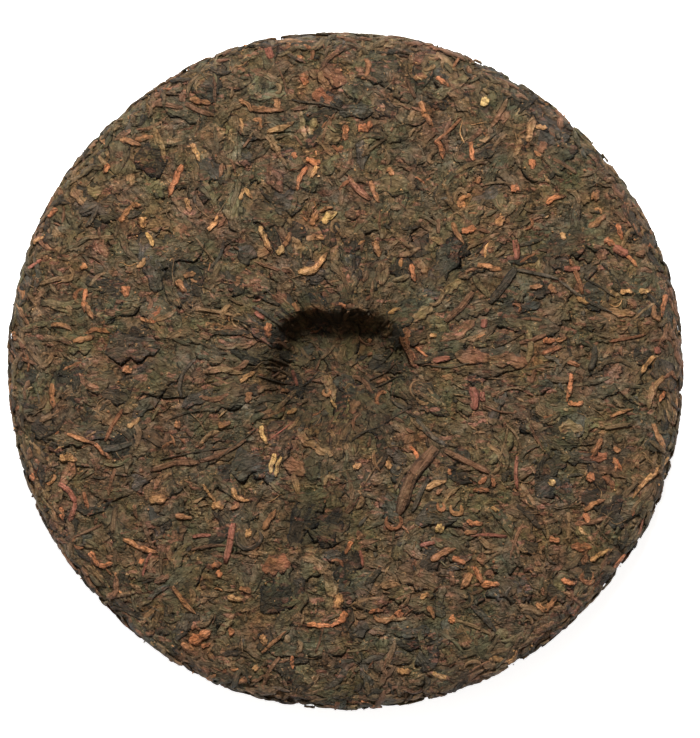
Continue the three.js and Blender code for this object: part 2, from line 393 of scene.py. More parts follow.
    def swell(self, face: Face, u: Array, v: Array) -> Array:
        """Low unevenness of the skin, fading out at the rim and where the cake rests."""
        walked = np.hypot(u, v)
        total = np.zeros_like(walked)
        for (across, along), phase, size in zip(*self.swells):
            total += size * np.cos(across * u + along * v + phase)
        fade = smooth_step(np.abs(self.ways[face].reach - walked), 0.0, self.swell_fade)
        if face is Face.FRONT:
            fade = fade * smooth_step(walked, self.foot_radius, self.swell_foot * self.foot_radius)
        return fade * total

    def raised(self, face: Face, u: Array, v: Array, lift: Array) -> Array:
        """Points at a height above the uneven skin, pressed flat towards the table and never below it.

        Args:
            face: The face whose map is meant.
            u: Places along X on it.
            v: Places along Y on it.
            lift: Heights above the skin in millimetres.

        Returns:
            Points in millimetres.
        """
        height = (lift + self.swell(face, u, v))[..., None]
        points = self.skin(face, u, v) + height * self.normal(face, u, v)
        under = np.minimum(points[..., 2] - self.squash, 0.0)
        points[..., 2] = np.maximum(points[..., 2], self.squash) * np.exp(under / self.squash)
        return points


@dataclass(frozen=True)
class MeshArrays:
    """A closed mesh as arrays, ready to be repeated."""

    corners: Array
    starts: Array
    points: int

    def repeated(self, count: int) -> tuple[Array, Array]:
        """Corner indices and face starts of that many copies, one after another."""
        corners = (self.corners[None] + self.points * np.arange(count)[:, None]).ravel()
        starts = (self.starts[None] + len(self.corners) * np.arange(count)[:, None]).ravel()
        return corners, starts


def arrays_of(work: bmesh.types.BMesh, order: Callable) -> tuple[MeshArrays, Array]:
    """Reads a bmesh into arrays.

    Args:
        work: The mesh, which is freed here.
        order: What the points are sorted by.

    Returns:
        Its faces as arrays, and its points in that order.
    """
    bmesh.ops.recalc_face_normals(work, faces=work.faces)
    points = sorted(work.verts, key=order)
    place = {vert: index for index, vert in enumerate(points)}
    loops = [[place[vert] for vert in face.verts] for face in work.faces]
    corners = np.array([index for loop in loops for index in loop])
    starts = np.cumsum([0] + [len(loop) for loop in loops[:-1]])
    places = np.array([vert.co[:] for vert in points])
    arrays = MeshArrays(corners, starts, len(points))
    work.free()
    return arrays, places


@dataclass(frozen=True)
class Strip:
    """The plain strip that every leaf is bent from: a closed tube of some stations and sides."""

    steps: int
    top_points: int
    under_points: int = 2
    arch: float = 0.96

    @property
    def around(self) -> int:
        """How many points each station has."""
        return self.top_points + self.under_points

    def faces(self) -> MeshArrays:
        """Extrudes a ring along the strip and closes both ends."""
        work = bmesh.new()
        bmesh.ops.create_circle(work, cap_ends=False, segments=self.around, radius=1.0)
        edges = list(work.edges)
        ends = [edges]
        for _ in range(self.steps):
            made = bmesh.ops.extrude_edge_only(work, edges=edges)["geom"]
            verts = [part for part in made if isinstance(part, bmesh.types.BMVert)]
            edges = [part for part in made if isinstance(part, bmesh.types.BMEdge)]
            bmesh.ops.translate(work, verts=verts, vec=(0.0, 0.0, 1.0))
            edges = [edge for edge in edges if all(vert in set(verts) for vert in edge.verts)]
        ends.append(edges)
        for end in ends:
            bmesh.ops.contextual_create(work, geom=end)

        def order(vert: bmesh.types.BMVert) -> tuple[int, float]:
            """By station, then round it."""
            return round(vert.co.z), math.atan2(vert.co.y, vert.co.x) % WHOLE_TURN

        return arrays_of(work, order)[0]

    def section(self) -> tuple[Array, Array]:
        """Places across, from -1 to 1, and heights, from -1 under to 1 on top, of a station's points."""
        top = np.linspace(1.0, -1.0, self.top_points)
        under = np.linspace(-1.0, 1.0, self.under_points + 2)[1:-1]
        across = np.concatenate([top, under])
        height = np.concatenate([np.sqrt(1.0 - self.arch * top**2), -np.ones(self.under_points)])
        return across, height


@dataclass
class Leaves:
    """A batch of leaves on one face, one row each. Lengths are in millimetres and angles in radians."""

    face: Face
    u: Array
    v: Array
    heading: Array
    length: Array
    width: Array
    bend: Array
    sway: Array
    lift: Array
    tint: Array

    def __len__(self) -> int:
        """The number of leaves."""
        return len(self.u)

    def only(self, kept: Array) -> "Leaves":
        """The leaves that a mask keeps."""
        return Leaves(self.face, *(getattr(self, part.name)[kept] for part in fields(self)[1:]))


@dataclass(frozen=True)
class Range:
    """A size that is drawn anew for each leaf. A lean over 1 makes small ones the commoner."""

    low: float
    high: float
    lean: float = 1.0

    def draw(self, draws: Draws, count: int) -> Array:
        """Draws the size for that many leaves."""
        return self.low + (self.high - self.low) * draws.uniform(0.0, 1.0, count) ** self.lean


class Tint(Enum):
    """Colours of dry leaf as a screen shows them."""

    SOOT = from_screen(54, 46, 33)
    OLIVE = from_screen(82, 72, 51)
    MOSS = from_screen(92, 81, 55)
    SLATE = from_screen(74, 66, 54)
    UMBER = from_screen(90, 73, 51)
    BARK = from_screen(106, 83, 58)
    HAZEL = from_screen(126, 98, 68)
    CHESTNUT = from_screen(114, 80, 57)
    RUSSET = from_screen(136, 88, 58)
    ROSE = from_screen(142, 86, 68)
    AMBER = from_screen(163, 113, 74)
    ORANGE = from_screen(190, 121, 80)
    GOLD = from_screen(185, 138, 90)
    STRAW = from_screen(220, 176, 114)

    @property
    def rgba(self) -> Rgba:
        """The colour with its alpha, as a node's socket takes it."""
        return (*self.value, 1.0)


@dataclass(frozen=True)
class Blend:
    """The tints of a kind of leaf, each with its share, and how far each leaf strays from its tint."""

    shares: tuple[tuple[Tint, float], ...]
    stray: float

    def draw(self, draws: Draws, count: int) -> Array:
        """Draws a colour for that many leaves."""
        colours = np.array([tint.value for tint, _ in self.shares])
        weights = np.array([share for _, share in self.shares])
        picks = draws.choice(len(colours), size=count, p=weights / weights.sum())
        return colours[picks] * np.exp(draws.normal(0.0, self.stray, (count, 1)))


def blend(stray: float = 0.16, **shares: float) -> Blend:
    """A blend, given the share of each tint under its name."""
    return Blend(tuple((Tint[name], share) for name, share in shares.items()), stray)


@dataclass(frozen=True)
class LeafKind:
    """One kind of leaf: its form, how many there are, and how it lies.

    Depth is how far it reaches under the skin, proud how far it may stand over it, cup how far its edges
    rise and dip how far its ends sink, all in millimetres. Point and tip shape its two ends. Follow and
    stray say how closely it keeps to the lie, shy how much it keeps off the dark patches and off what the
    photograph shows, and fond how much it keeps to the warm patches.
    """

    name: str
    strip: Strip
    length: Range
    width: Range
    thickness: float
    blend: Blend
    on_back: int
    on_rim: int
    on_front: int
    depth: float = 0.5
    bend: Range = Range(-0.5, 0.5)
    sway: Range = Range(-0.3, 0.3)
    lift: Range = Range(-0.15, 0.15)
    point: Pair = (2.4, 2.4)
    tip: Pair = (0.12, 0.12)
    ragged: float = 0.1
    wrinkle: float = 0.1
    proud: float = 0.2
    cup: float = 0.0
    dip: float = 0.35
    follow: float = 1.0
    stray: float = 0.3
    shy: float = 2.2
    fond: float = 0.0


@dataclass(frozen=True)
class Lie:
    """How leaves lie: out from the hollow near it, along the rim near that, and anyhow between."""

    form: CakeForm
    pleat_reach: float = 46.0
    side_reach: float = 26.0
    side_power: int = 3
    near_share: float = 0.6
    rim_reach: float = 11.0
    rim_share: float = 0.3

    def heading(self, face: Face, u: Array, v: Array, kind: LeafKind, draws: Draws) -> Array:
        """Draws headings for leaves.

        Args:
            face: The face they lie on.
            u: Their places along X on its map.
            v: Their places along Y on its map.
            kind: The kind of leaf, which tells how closely it keeps to the lie.
            draws: The seeded draws.

        Returns:
            Headings in radians.
        """
        walked, turn = np.hypot(u, v), np.arctan2(v, u)
        anyhow = draws.uniform(0.0, WHOLE_TURN, len(u))
        stray = draws.normal(0.0, kind.stray, len(u))
        to_rim = np.abs(self.form.ways[face].reach - walked)
        at_rim = 1.0 - smooth_step(to_rim, self.rim_share * self.rim_reach, self.rim_reach)
        near = self.pleat_reach + self.side_reach * np.abs(np.cos(turn)) ** self.side_power
        at_hollow = (1.0 - smooth_step(walked, self.near_share * near, near)) * (face is Face.BACK)
        pick = draws.uniform(0.0, 1.0, len(u))
        heading = np.where(pick < at_hollow * kind.follow, turn + stray, anyhow)
        return np.where(pick < at_rim * kind.follow, turn + math.pi / 2 + stray, heading)


@dataclass(frozen=True)
class Scatter:
    """Draws where the leaves of a kind lie."""

    form: CakeForm
    lie: Lie
    marks: tuple[Mark, ...] = ()
    mark_clear: float = 1.2
    foot_clear: float = 3.0
    rim_band: float = 9.0
    rim_overlap: float = 0.4
    shake: float = 0.3
    spin: float = 6.28

    def places(self, inner: float, outer: float, count: int, draws: Draws) -> tuple[Array, Array]:
        """Places spread evenly on a ring of a face's map: a sunflower spiral, shaken and shuffled.

        Args:
            inner: Where the ring begins, from the middle.
            outer: Where it ends.
            count: How many places there are.
            draws: The seeded draws.

        Returns:
            The places along X and along Y.
        """
        steps = (np.arange(count) + draws.uniform(0.0, 1.0, count)) / max(count, 1)
        walked = np.sqrt(inner**2 + (outer**2 - inner**2) * steps)
        turn = GOLDEN_TURN * np.arange(count) + draws.uniform(-self.shake, self.shake, count)
        turn = turn + draws.uniform(0.0, self.spin)
        order = draws.permutation(count)
        return (walked * np.cos(turn))[order], (walked * np.sin(turn))[order]

    def ring(self, kind: LeafKind, face: Face, inner: float, outer: float, count: int, seed: int) -> Leaves:
        """Draws the leaves of a kind on a ring of a face's map.

        Args:
            kind: The kind of leaf.
            face: The face.
            inner: Where the ring begins, from the middle.
            outer: Where it ends.
            count: How many leaves there are.
            seed: The seed of the draws.

        Returns:
            The batch of leaves.
        """
        draws = np.random.default_rng(seed)
        u, v = self.places(inner, outer, count, draws)
        heading = self.lie.heading(face, u, v, kind, draws)
        sizes = (kind.length, kind.width, kind.bend, kind.sway, kind.lift)
        length, width, bend, sway, lift = (size.draw(draws, count) for size in sizes)
        tint = kind.blend.draw(draws, count)
        leaves = Leaves(face, u, v, heading, length, width, bend, sway, lift, tint)
        x, y, _ = np.moveaxis(self.form.skin(face, u, v), -1, 0)
        smooth = kind.shy * self.form.patched(x, y) * (face is Face.BACK)
        kept = draws.uniform(0.0, 1.0, count) >= smooth
        if face is Face.BACK and kind.shy:
            kept &= ~self.covered(x, y)
        if face is Face.BACK and kind.fond:
            kept &= draws.uniform(0.0, 1.0, count) >= kind.fond * (1.0 - self.form.warmed(x, y))
        return leaves.only(kept)

    def covered(self, x: Array, y: Array) -> Array:
        """Which places over the table lie on a piece that the photograph shows."""
        over = np.zeros(len(x), dtype=bool)
        for mark in self.marks:
            start, end = mark.ends(self.form.picture)
            way = end - start
            share = np.clip(((x - start[0]) * way[0] + (y - start[1]) * way[1]) / (way @ way), 0.0, 1.0)
            away = np.hypot(x - start[0] - share * way[0], y - start[1] - share * way[1])
            over |= away < mark.width / 2 + self.mark_clear
        return over

    def batches(self, kind: LeafKind, seed: int) -> list[Leaves]:
        """Draws all the leaves of a kind, on the back, round the rim and on the front."""
        back, front = self.form.ways[Face.BACK].reach, self.form.ways[Face.FRONT].reach
        inset = self.rim_overlap * self.rim_band
        rings = (
            (Face.BACK, 0.0, back - inset, kind.on_back),
            (Face.BACK, back - self.rim_band, back + self.rim_band, kind.on_rim),
            (Face.FRONT, self.foot_clear, front - inset, kind.on_front),
        )
        return [self.ring(kind, *ring, seed + index) for index, ring in enumerate(rings)]


@dataclass(frozen=True)
class Landmarks:
    """Pieces at the places where the photograph shows them, somewhat wider than their marks."""

    form: CakeForm
    picture: Picture = Picture()
    stray: float = 0.1
    lift: Range = Range(0.2, 0.4)
    widen: float = 1.38
    sway: float = 0.25

    def batch(self, marks: dict[Tint, tuple[Mark, ...]], seed: int) -> Leaves:
        """Turns marks into a batch of leaves on the back.

        Args:
            marks: The marks of one kind by their tint.
            seed: The seed of their small differences.

        Returns:
            The batch.
        """
        draws = np.random.default_rng(seed)
        rows = [(*self.placed(mark), *tint.value) for tint, group in marks.items() for mark in group]
        u, v, heading, length, width, turn, *tint = np.array(rows).T
        tints = np.stack(tint, axis=1) * np.exp(draws.normal(0.0, self.stray, (len(rows), 1)))
        sway = draws.uniform(-self.sway, self.sway, len(rows))
        lift = self.lift.draw(draws, len(rows))
        return Leaves(Face.BACK, u, v, heading, length, width, turn, sway, lift, tints)

    def placed(self, mark: Mark) -> tuple[float, ...]:
        """Place on the map, heading, length along the bend, width and bend of a mark."""
        start, end = (np.array(self.form.on_map(*end)) for end in mark.ends(self.picture))
        way = end - start
        half = mark.turn / 2
        chord = math.hypot(*way)
        longer = half / math.sin(half) if half else 1.0
        height = (1.0 - math.cos(half)) / math.sin(half) if half else 0.0
        # A leaf is centred on the mean of its line, which lies two thirds of the bend's rise off the chord.
        middle = (start + end) / 2 + np.array([way[1], -way[0]]) * height / 3
        return (*middle, math.atan2(way[1], way[0]), chord * longer, self.widen * mark.width, mark.turn)


def drawn_waves(draws: Draws, count: int, rows: int, share: Array, paces: Pair) -> Array:
    """Smooth random changes along leaves.

    Args:
        draws: The seeded draws.
        count: How many leaves.
        rows: How many separate lines on each leaf.
        share: Stations along a leaf, from -1 to 1.
        paces: The least and the most half waves along it.

    Returns:
        Values from about -1 to 1, by leaf, station and line.
    """
    pace = draws.uniform(*paces, (count, 1, rows)) * math.pi / 2
    phase = draws.uniform(0.0, WHOLE_TURN, (count, 1, rows))
    return np.sin(pace * share[None, :, None] + phase)


class LeafLayer:
    """All the leaves of one kind as one joined mesh."""

    RAGGED_PACES = (1.5, 6.0)
    WRINKLE_PACES = (0.5, 5.0)
    WRINKLE_SHARES = (0.3, 1.0)
    CUP_SHARES = (-0.4, 1.0)
    END_THICKNESS = 0.45
    END_POWER = 0.6
    DIP_POWER = 5
    UV_SHIFTS = (300.0, 170.0)

    def __init__(self, kind: LeafKind, form: CakeForm, seed: int) -> None:
        """Keeps the kind, the form that it is bent onto, and the seed of its wrinkles."""
        self.kind = kind
        self.form = form
        self.draws = np.random.default_rng(seed)

    def shape(self, leaves: Leaves) -> tuple[Array, ...]:
        """Bends a batch of strips onto the skin.

        Args:
            leaves: The batch.

        Returns:
            Points in millimetres, colours, places on the leaf (across, along, its own draw), and UV places
            in millimetres, each by leaf, station and point.
        """
        kind, count = self.kind, len(leaves)
        share = np.linspace(-1.0, 1.0, kind.strip.steps + 1)
        across, height = kind.strip.section()
        middle_u, middle_v, heading = self.centreline(leaves, share)
        width = leaves.width[:, None] / 2 * self.outline(share)[None]
        ragged = 1.0 + kind.ragged * drawn_waves(self.draws, count, 2, share, self.RAGGED_PACES)
        side = np.where(across[None, None] > 0, ragged[..., :1], ragged[..., 1:])
        out = across[None, None] * width[..., None] * side
        u = middle_u[..., None] - out * np.sin(heading)[..., None]
        v = middle_v[..., None] + out * np.cos(heading)[..., None]
        thick = self.END_THICKNESS + (1.0 - self.END_THICKNESS) * self.outline(share)
        thick = kind.thickness * thick[None, :, None]
        over = np.maximum(height, 0.0)[None, None] * thick
        under = np.minimum(height, 0.0)[None, None] * kind.depth
        wrinkle = drawn_waves(self.draws, count, kind.strip.around, share, self.WRINKLE_PACES)
        wrinkle *= kind.wrinkle * self.draws.uniform(*self.WRINKLE_SHARES, (count, 1, 1)) * (height > 0)
        cup = kind.cup * self.draws.uniform(*self.CUP_SHARES, (count, 1, 1)) * across**2 * (height > 0)
        dip = kind.dip * np.abs(share) ** self.DIP_POWER
        lift = leaves.lift[:, None, None] + over + cup - dip[None, :, None]
        pressed = np.where(lift > 0, kind.proud * np.tanh(lift / kind.proud), lift)
        lift = pressed + wrinkle + under
        points = self.form.raised(leaves.face, u, v, lift)
        own = self.draws.uniform(0.0, 1.0, (count, 1, 1))
        along = share[None, :, None] * leaves.length[:, None, None] / 2
        place = np.stack(np.broadcast_arrays(across[None, None], share[None, :, None], own), axis=-1)
        uv = [line + shift * own for line, shift in zip((along, out), self.UV_SHIFTS)]
        tints = np.broadcast_to(leaves.tint[:, None, None], points.shape)
        return points, tints, place, np.stack(np.broadcast_arrays(*uv), axis=-1)

    def centreline(self, leaves: Leaves, share: Array) -> tuple[Array, Array, Array]:
        """The middle line of each leaf on the map, and its heading, by leaf and station."""
        heading = leaves.heading[:, None] + leaves.bend[:, None] * share / 2
        heading = heading + leaves.sway[:, None] * np.sin(math.pi * share)
        between = (heading[:, 1:] + heading[:, :-1]) / 2
        step = (leaves.length / self.kind.strip.steps)[:, None]
        lines = []
        for start, moves in ((leaves.u, np.cos(between) * step), (leaves.v, np.sin(between) * step)):
            line = np.concatenate([np.zeros((len(leaves), 1)), np.cumsum(moves, axis=1)], axis=1)
            lines.append(start[:, None] + line - line.mean(axis=1, keepdims=True))
        return lines[0], lines[1], heading

    def outline(self, share: Array) -> Array:
        """Half width along the leaf as a share of its widest."""
        power = np.where(share < 0, *self.kind.point)
        tip = np.where(share < 0, *self.kind.tip)
        return tip + (1.0 - tip) * (1.0 - np.abs(share) ** power) ** self.END_POWER

    def build(self, batches: list[Leaves]) -> Object:
        """Joins every leaf into one mesh object with its colours and UV map."""
        parts = [self.shape(leaves) for leaves in batches if len(leaves)]
        return leaf_piece(self.kind.name, parts, self.kind.strip.faces())


def linked(name: str, data: bpy.types.ID) -> Object:
    """Makes an object of its data and links it to the scene."""
    made = bpy.data.objects.new(name, data)
    bpy.context.scene.collection.objects.link(made)
    return made


def mesh_object(name: str, points: Array, corners: Array, starts: Array) -> Object:
    """Makes a smooth mesh object from arrays.

    Args:
        name: The piece's name.
        points: Points in millimetres.
        corners: Indices of the faces' corners.
        starts: Where each face starts in them.

    Returns:
        The object, linked to the scene.
    """
    mesh = bpy.data.meshes.new(name)
    flat = np.ascontiguousarray(points.reshape(-1) * METRE, dtype=np.float32)
    mesh.vertices.add(len(flat) // 3)
    mesh.vertices.foreach_set("co", flat)
    mesh.loops.add(len(corners))
    mesh.loops.foreach_set("vertex_index", corners.astype(np.int32))
    mesh.polygons.add(len(starts))
    mesh.polygons.foreach_set("loop_start", starts.astype(np.int32))
    mesh.update(calc_edges=True)
    mesh.polygons.foreach_set("use_smooth", np.ones(len(starts), dtype=bool))
    mesh.validate()
    return linked(name, mesh)


def add_uv(piece: Object, uv: Array) -> None:
    """Gives each corner its UV place in millimetres along and across its leaf."""
    layer = piece.data.uv_layers.new(name="leaf_grain")
    layer.data.foreach_set("uv", uv.astype(np.float32).ravel())


def add_attribute(piece: Object, name: str, kind: str, field: str, values: Array) -> None:
    """Gives each point of a piece a value under a name.

    Args:
        piece: The piece.
        name: The attribute's name.
        kind: Its data type.
        field: What its data calls a value.
        values: One row for each point.
    """
    layer = piece.data.attributes.new(name, kind, "POINT")
    layer.data.foreach_set(field, values.astype(np.float32).ravel())


def leaf_piece(name: str, parts: list[tuple[Array, ...]], arrays: MeshArrays) -> Object:
    """Joins batches of leaves or grains into one mesh object.

    Args:
        name: The piece's name.
        parts: Points, colours, places on the leaf and UV places of each batch, by leaf.
        arrays: The mesh that each of them is a copy of.

    Returns:
        The object, with leaf_tint, leaf_place and its UV map.
    """
    points, tints, places, uvs = (np.concatenate(part) for part in zip(*parts))
    corners, starts = arrays.repeated(len(points))
    piece = mesh_object(name, points, corners, starts)
    tints = tints.reshape(-1, 3)
    opaque = np.hstack([tints, np.ones((len(tints), 1))])
    add_attribute(piece, "leaf_tint", "FLOAT_COLOR", "color", opaque)
    add_attribute(piece, "leaf_place", "FLOAT_VECTOR", "vector", places)
    add_uv(piece, uvs.reshape(-1, 2)[corners])
    return piece


def add_hollow_shade_and_patches(piece: Object, form: CakeForm) -> None:
    """Gives each point of a piece how dark the shade painted into the hollow and the darker patches make it,
    and how warm.
    """
    points = np.empty(3 * len(piece.data.vertices), dtype=np.float32)
    piece.data.vertices.foreach_get("co", points)
    x, y, z = points.reshape(-1, 3).T / METRE
    above = z > form.rim_height / 2
    # Painted shade of the hollow, added to the darker leaf of the patches.
    fields = {"hollow_shade_and_dark_patches": form.hollow_shade(x, y) + form.patched(x, y), "skin_warmth": form.warmed(x, y)}
    for name, field in fields.items():
        add_attribute(piece, name, "FLOAT", "value", field * above)


@dataclass(frozen=True)
class PressedCore:
    """The dark compact of broken leaf that shows between the leaves."""

    form: CakeForm
    rounds: int = 7
    back_share: float = 0.6
    sink: float = 0.25
    rim_sink: float = 0.3
    rim_spread: float = 6.0
    crumble: float = 0.16
    fine_share: float = 0.4
    name: str = "pressed_core"

    def build(self) -> Object:
        """Presses an icosphere into the cake's form, a little under its skin, and crumbles it."""
        work = bmesh.new()
        bmesh.ops.create_icosphere(work, subdivisions=self.rounds, radius=1.0)
        arrays, directions = arrays_of(work, lambda vert: vert.index)
        equator = 1.0 - 2.0 * self.back_share
        turn = np.arctan2(directions[:, 1], directions[:, 0])
        on_back = directions[:, 2] >= equator
        points = np.empty_like(directions)
        for face, chosen in ((Face.BACK, on_back), (Face.FRONT, ~on_back)):
            share = face.value * (face.value - directions[chosen, 2]) / (1.0 - face.value * equator)
            walked = self.form.ways[face].reach * np.sqrt(np.clip(share, 0.0, 1.0))
            u, v = walked * np.cos(turn[chosen]), walked * np.sin(turn[chosen])
            at_rim = np.exp(-(((self.form.ways[face].reach - walked) / self.rim_spread) ** 2))
            lift = self.crumbs(u, v) - self.sink - self.rim_sink * at_rim
            points[chosen] = self.form.raised(face, u, v, lift)
        corners, starts = arrays.repeated(1)
        piece = mesh_object(self.name, points, corners, starts)
        add_uv(piece, points[corners][:, :2])
        return piece

    def crumbs(self, u: Array, v: Array) -> Array:
        """Fine crumbled relief: two sets of short waves, whose odd paces keep them from repeating."""
        rough = np.sin(2.1 * u + 1.7 * np.sin(0.9 * v)) * np.sin(1.7 * v + 1.3 * np.sin(1.1 * u))
        fine = np.sin(3.7 * u - 2.9 * v + 2.0 * np.sin(0.7 * u)) * np.sin(2.3 * u + 3.3 * v)
        return self.crumble * ((1.0 - self.fine_share) * rough + self.fine_share * fine)


@dataclass(frozen=True)
class Crumbs:
    """Loose broken bits of leaf that stick to the skin."""

    form: CakeForm
    on_back: int = 1300
    on_front: int = 700
    size: Range = Range(0.25, 0.75)
    stretch: Pair = (0.5, 1.5)
    lift: float = 0.25
    foot_share: float = 1.4
    past_rim: float = 4.0
    blend: Blend = blend(BARK=4.0, HAZEL=3.0, RUSSET=1.0, AMBER=1.2, GOLD=0.8, SOOT=4.0)
    name: str = "crumbs"

    def build(self, scatter: Scatter, seed: int) -> Object:
        """Scatters uneven grains of twenty faces over both faces."""
        work = bmesh.new()
        bmesh.ops.create_icosphere(work, subdivisions=1, radius=1.0)
        arrays, directions = arrays_of(work, lambda vert: vert.index)
        draws = np.random.default_rng(seed)
        parts = [self.grains(scatter, face, directions, draws) for face in Face]
        return leaf_piece(self.name, parts, arrays)

    def grains(
        self, scatter: Scatter, face: Face, directions: Array, draws: Draws
    ) -> tuple[Array, ...]:
        """Points, colours, places and UV places of the grains on one face, by grain and point."""
        inner, count = 0.0, self.on_back
        if face is Face.FRONT:
            inner, count = self.foot_share * self.form.foot_radius, self.on_front
        u, v = scatter.places(inner, self.form.ways[face].reach + self.past_rim, count, draws)
        size = self.size.draw(draws, count)[:, None]
        stretch = draws.uniform(*self.stretch, (count, 3)) / 2
        turn = draws.uniform(0.0, WHOLE_TURN, (count, 1))
        along = directions[None, :, 0] * size * stretch[:, :1]
        across = directions[None, :, 1] * size * stretch[:, 1:2]
        lift = directions[None, :, 2] * size * stretch[:, 2:] + self.lift
        place_u = u[:, None] + along * np.cos(turn) - across * np.sin(turn)
        place_v = v[:, None] + along * np.sin(turn) + across * np.cos(turn)
        points = self.form.raised(face, place_u, place_v, lift)
        tints = np.broadcast_to(self.blend.draw(draws, count)[:, None], points.shape)
        own = np.broadcast_to(draws.uniform(0.0, 1.0, (count, 1)), place_u.shape)
        places = np.stack([0.0 * own, 0.0 * own, own], axis=-1)
        return points, tints, places, np.stack([place_u, place_v], axis=-1)


@dataclass(frozen=True)
class Noise:
    """What a noise is drawn with. The scale is per metre, or per millimetre on a UV map."""

    scale: float
    detail: float
    roughness: float
    distortion: float = 0.0


class Nodes:
    """Short ways to add and join shader nodes in one tree."""

    def __init__(self, tree: Tree) -> None:
        """Keeps the tree."""
        self.tree = tree

    def add(self, kind: str, settings: dict | None = None, **inputs: object) -> bpy.types.Node:
        """Adds a node.

        Args:
            kind: Its type.
            settings: Its properties.
            **inputs: A value or a socket for each named input.

        Returns:
            The node.
        """
        node = self.tree.nodes.new(kind)
        for name, value in (settings or {}).items():
            setattr(node, name, value)
        self.feed(node, inputs)
        return node

    def feed(self, node: bpy.types.Node, values: dict[object, object]) -> None:
        """Links a socket to each input, by name or number, or sets the input's own value."""
        for key, value in values.items():
            if isinstance(value, Socket):
                self.tree.links.new(value, node.inputs[key])
            else:
                node.inputs[key].default_value = value

    def listed(self, kind: str, settings: dict, values: tuple) -> bpy.types.Node:
        """Adds a node and feeds its first inputs in their order."""
        node = self.add(kind, settings)
        self.feed(node, dict(enumerate(values)))
        return node

    def math(self, operation: str, *values: object) -> Socket:
        """Adds a math node and returns its value."""
        return self.listed("ShaderNodeMath", {"operation": operation}, values).outputs[0]

    def vector_math(self, operation: str, *values: object) -> Socket:
        """Adds a vector math node and returns its vector."""
        return self.listed("ShaderNodeVectorMath", {"operation": operation}, values).outputs[0]

    def ramp(self, value: object, span: Pair = UNIT, onto: Pair = UNIT) -> Socket:
        """Maps a value from one span onto another, held at its ends."""
        return self.listed("ShaderNodeMapRange", {}, (value, *span, *onto)).outputs[0]

    def mix(self, blend: str, share: object, first: object, second: object) -> Socket:
        """Mixes two colours and returns the result."""
        node = self.add("ShaderNodeMix", {"data_type": "RGBA", "blend_type": blend})
        self.feed(node, {0: share, 6: first, 7: second})
        return node.outputs[2]

    def noise(self, place: object, form: Noise, fineness: object = 1.0) -> Sockets:
        """Adds a noise and returns its outputs: its value and its Color."""
        inputs = {"Detail": form.detail, "Roughness": form.roughness, "Distortion": form.distortion}
        scale = self.math("MULTIPLY", fineness, form.scale)
        return self.add("ShaderNodeTexNoise", Vector=place, Scale=scale, **inputs).outputs

    def cracks(self, place: object, scale: object) -> Socket:
        """Adds cells and returns how far each place is from their edges."""
        edges = {"feature": "DISTANCE_TO_EDGE"}
        return self.add("ShaderNodeTexVoronoi", edges, Vector=place, Scale=scale).outputs[0]

    def shaken(self, place: object, form: Noise, reach: float, fineness: object = 1.0) -> Socket:
        """Moves a place by a noise, so that what is drawn from it runs unevenly."""
        noise = self.noise(place, form, fineness)["Color"]
        return self.vector_math("MULTIPLY_ADD", noise, (reach,) * 3, place)

    def joined(self, *values: object) -> Socket:
        """Joins an X, a Y and a Z into a vector."""
        return self.listed("ShaderNodeCombineXYZ", {}, values).outputs[0]

    def split(self, vector: object) -> Sockets:
        """Takes a vector apart and returns its X, Y and Z."""
        return self.add("ShaderNodeSeparateXYZ", Vector=vector).outputs

    def attribute(self, name: str, output: str) -> Socket:
        """Reads an attribute of the mesh."""
        return self.add("ShaderNodeAttribute", {"attribute_name": name}).outputs[output]

    def object_place(self) -> Socket:
        """The place on the object in metres."""
        return self.add("ShaderNodeTexCoord").outputs["Object"]

    def group(self, tree: Tree, **inputs: object) -> Sockets:
        """Puts a node group in with its own values and returns its outputs."""
        return self.add("ShaderNodeGroup", {"node_tree": tree}, **inputs).outputs


class Group:
    """A shader node group with named sockets."""

    def __init__(self, name: str, inputs: dict[str, float | None], outputs: tuple[str, ...]) -> None:
        """Starts the group.

        Args:
            name: The group's name.
            inputs: Its inputs with their defaults, None for a vector.
            outputs: Its value outputs.
        """
        tree = bpy.data.node_groups.new(name, "ShaderNodeTree")
        for label, default in inputs.items():
            kind = "NodeSocketVector" if default is None else "NodeSocketFloat"
            socket = tree.interface.new_socket(label, in_out="INPUT", socket_type=kind)
            if default is not None:
                socket.default_value = default
        for label in outputs:
            tree.interface.new_socket(label, in_out="OUTPUT", socket_type="NodeSocketFloat")
        self.nodes = Nodes(tree)
        self.given = self.nodes.add("NodeGroupInput").outputs
        self.labels = outputs

    def close(self, *values: Socket) -> Tree:
        """Feeds the group's outputs in their order and returns its tree."""
        self.nodes.feed(self.nodes.add("NodeGroupOutput"), dict(zip(self.labels, values)))
        return self.nodes.tree


@dataclass(frozen=True)
class LeafGrain:
    """Veins and wrinkles along a leaf, from its UV places in millimetres."""

    veins: Noise = Noise(1.0, 5.0, 0.7, 0.8)
    crease_scale: float = 0.45
    streak_span: Pair = (0.3, 0.7)
    crease_span: Pair = (0.0, 0.12)

    def group(self) -> Tree:
        """Builds the node group."""
        inputs = {"Place": None, "Fineness": 1.0, "Stretch": 0.2}
        group = Group("leaf_grain", inputs, ("Streak", "Crease"))
        nodes, fineness = group.nodes, group.given["Fineness"]
        stretch = nodes.joined(group.given["Stretch"], 1.0, 1.0)
        place = nodes.vector_math("MULTIPLY", group.given["Place"], stretch)
        streak = nodes.noise(place, self.veins, fineness)[0]
        crease = nodes.cracks(place, nodes.math("MULTIPLY", fineness, self.crease_scale))
        return group.close(nodes.ramp(streak, self.streak_span), nodes.ramp(crease, self.crease_span))


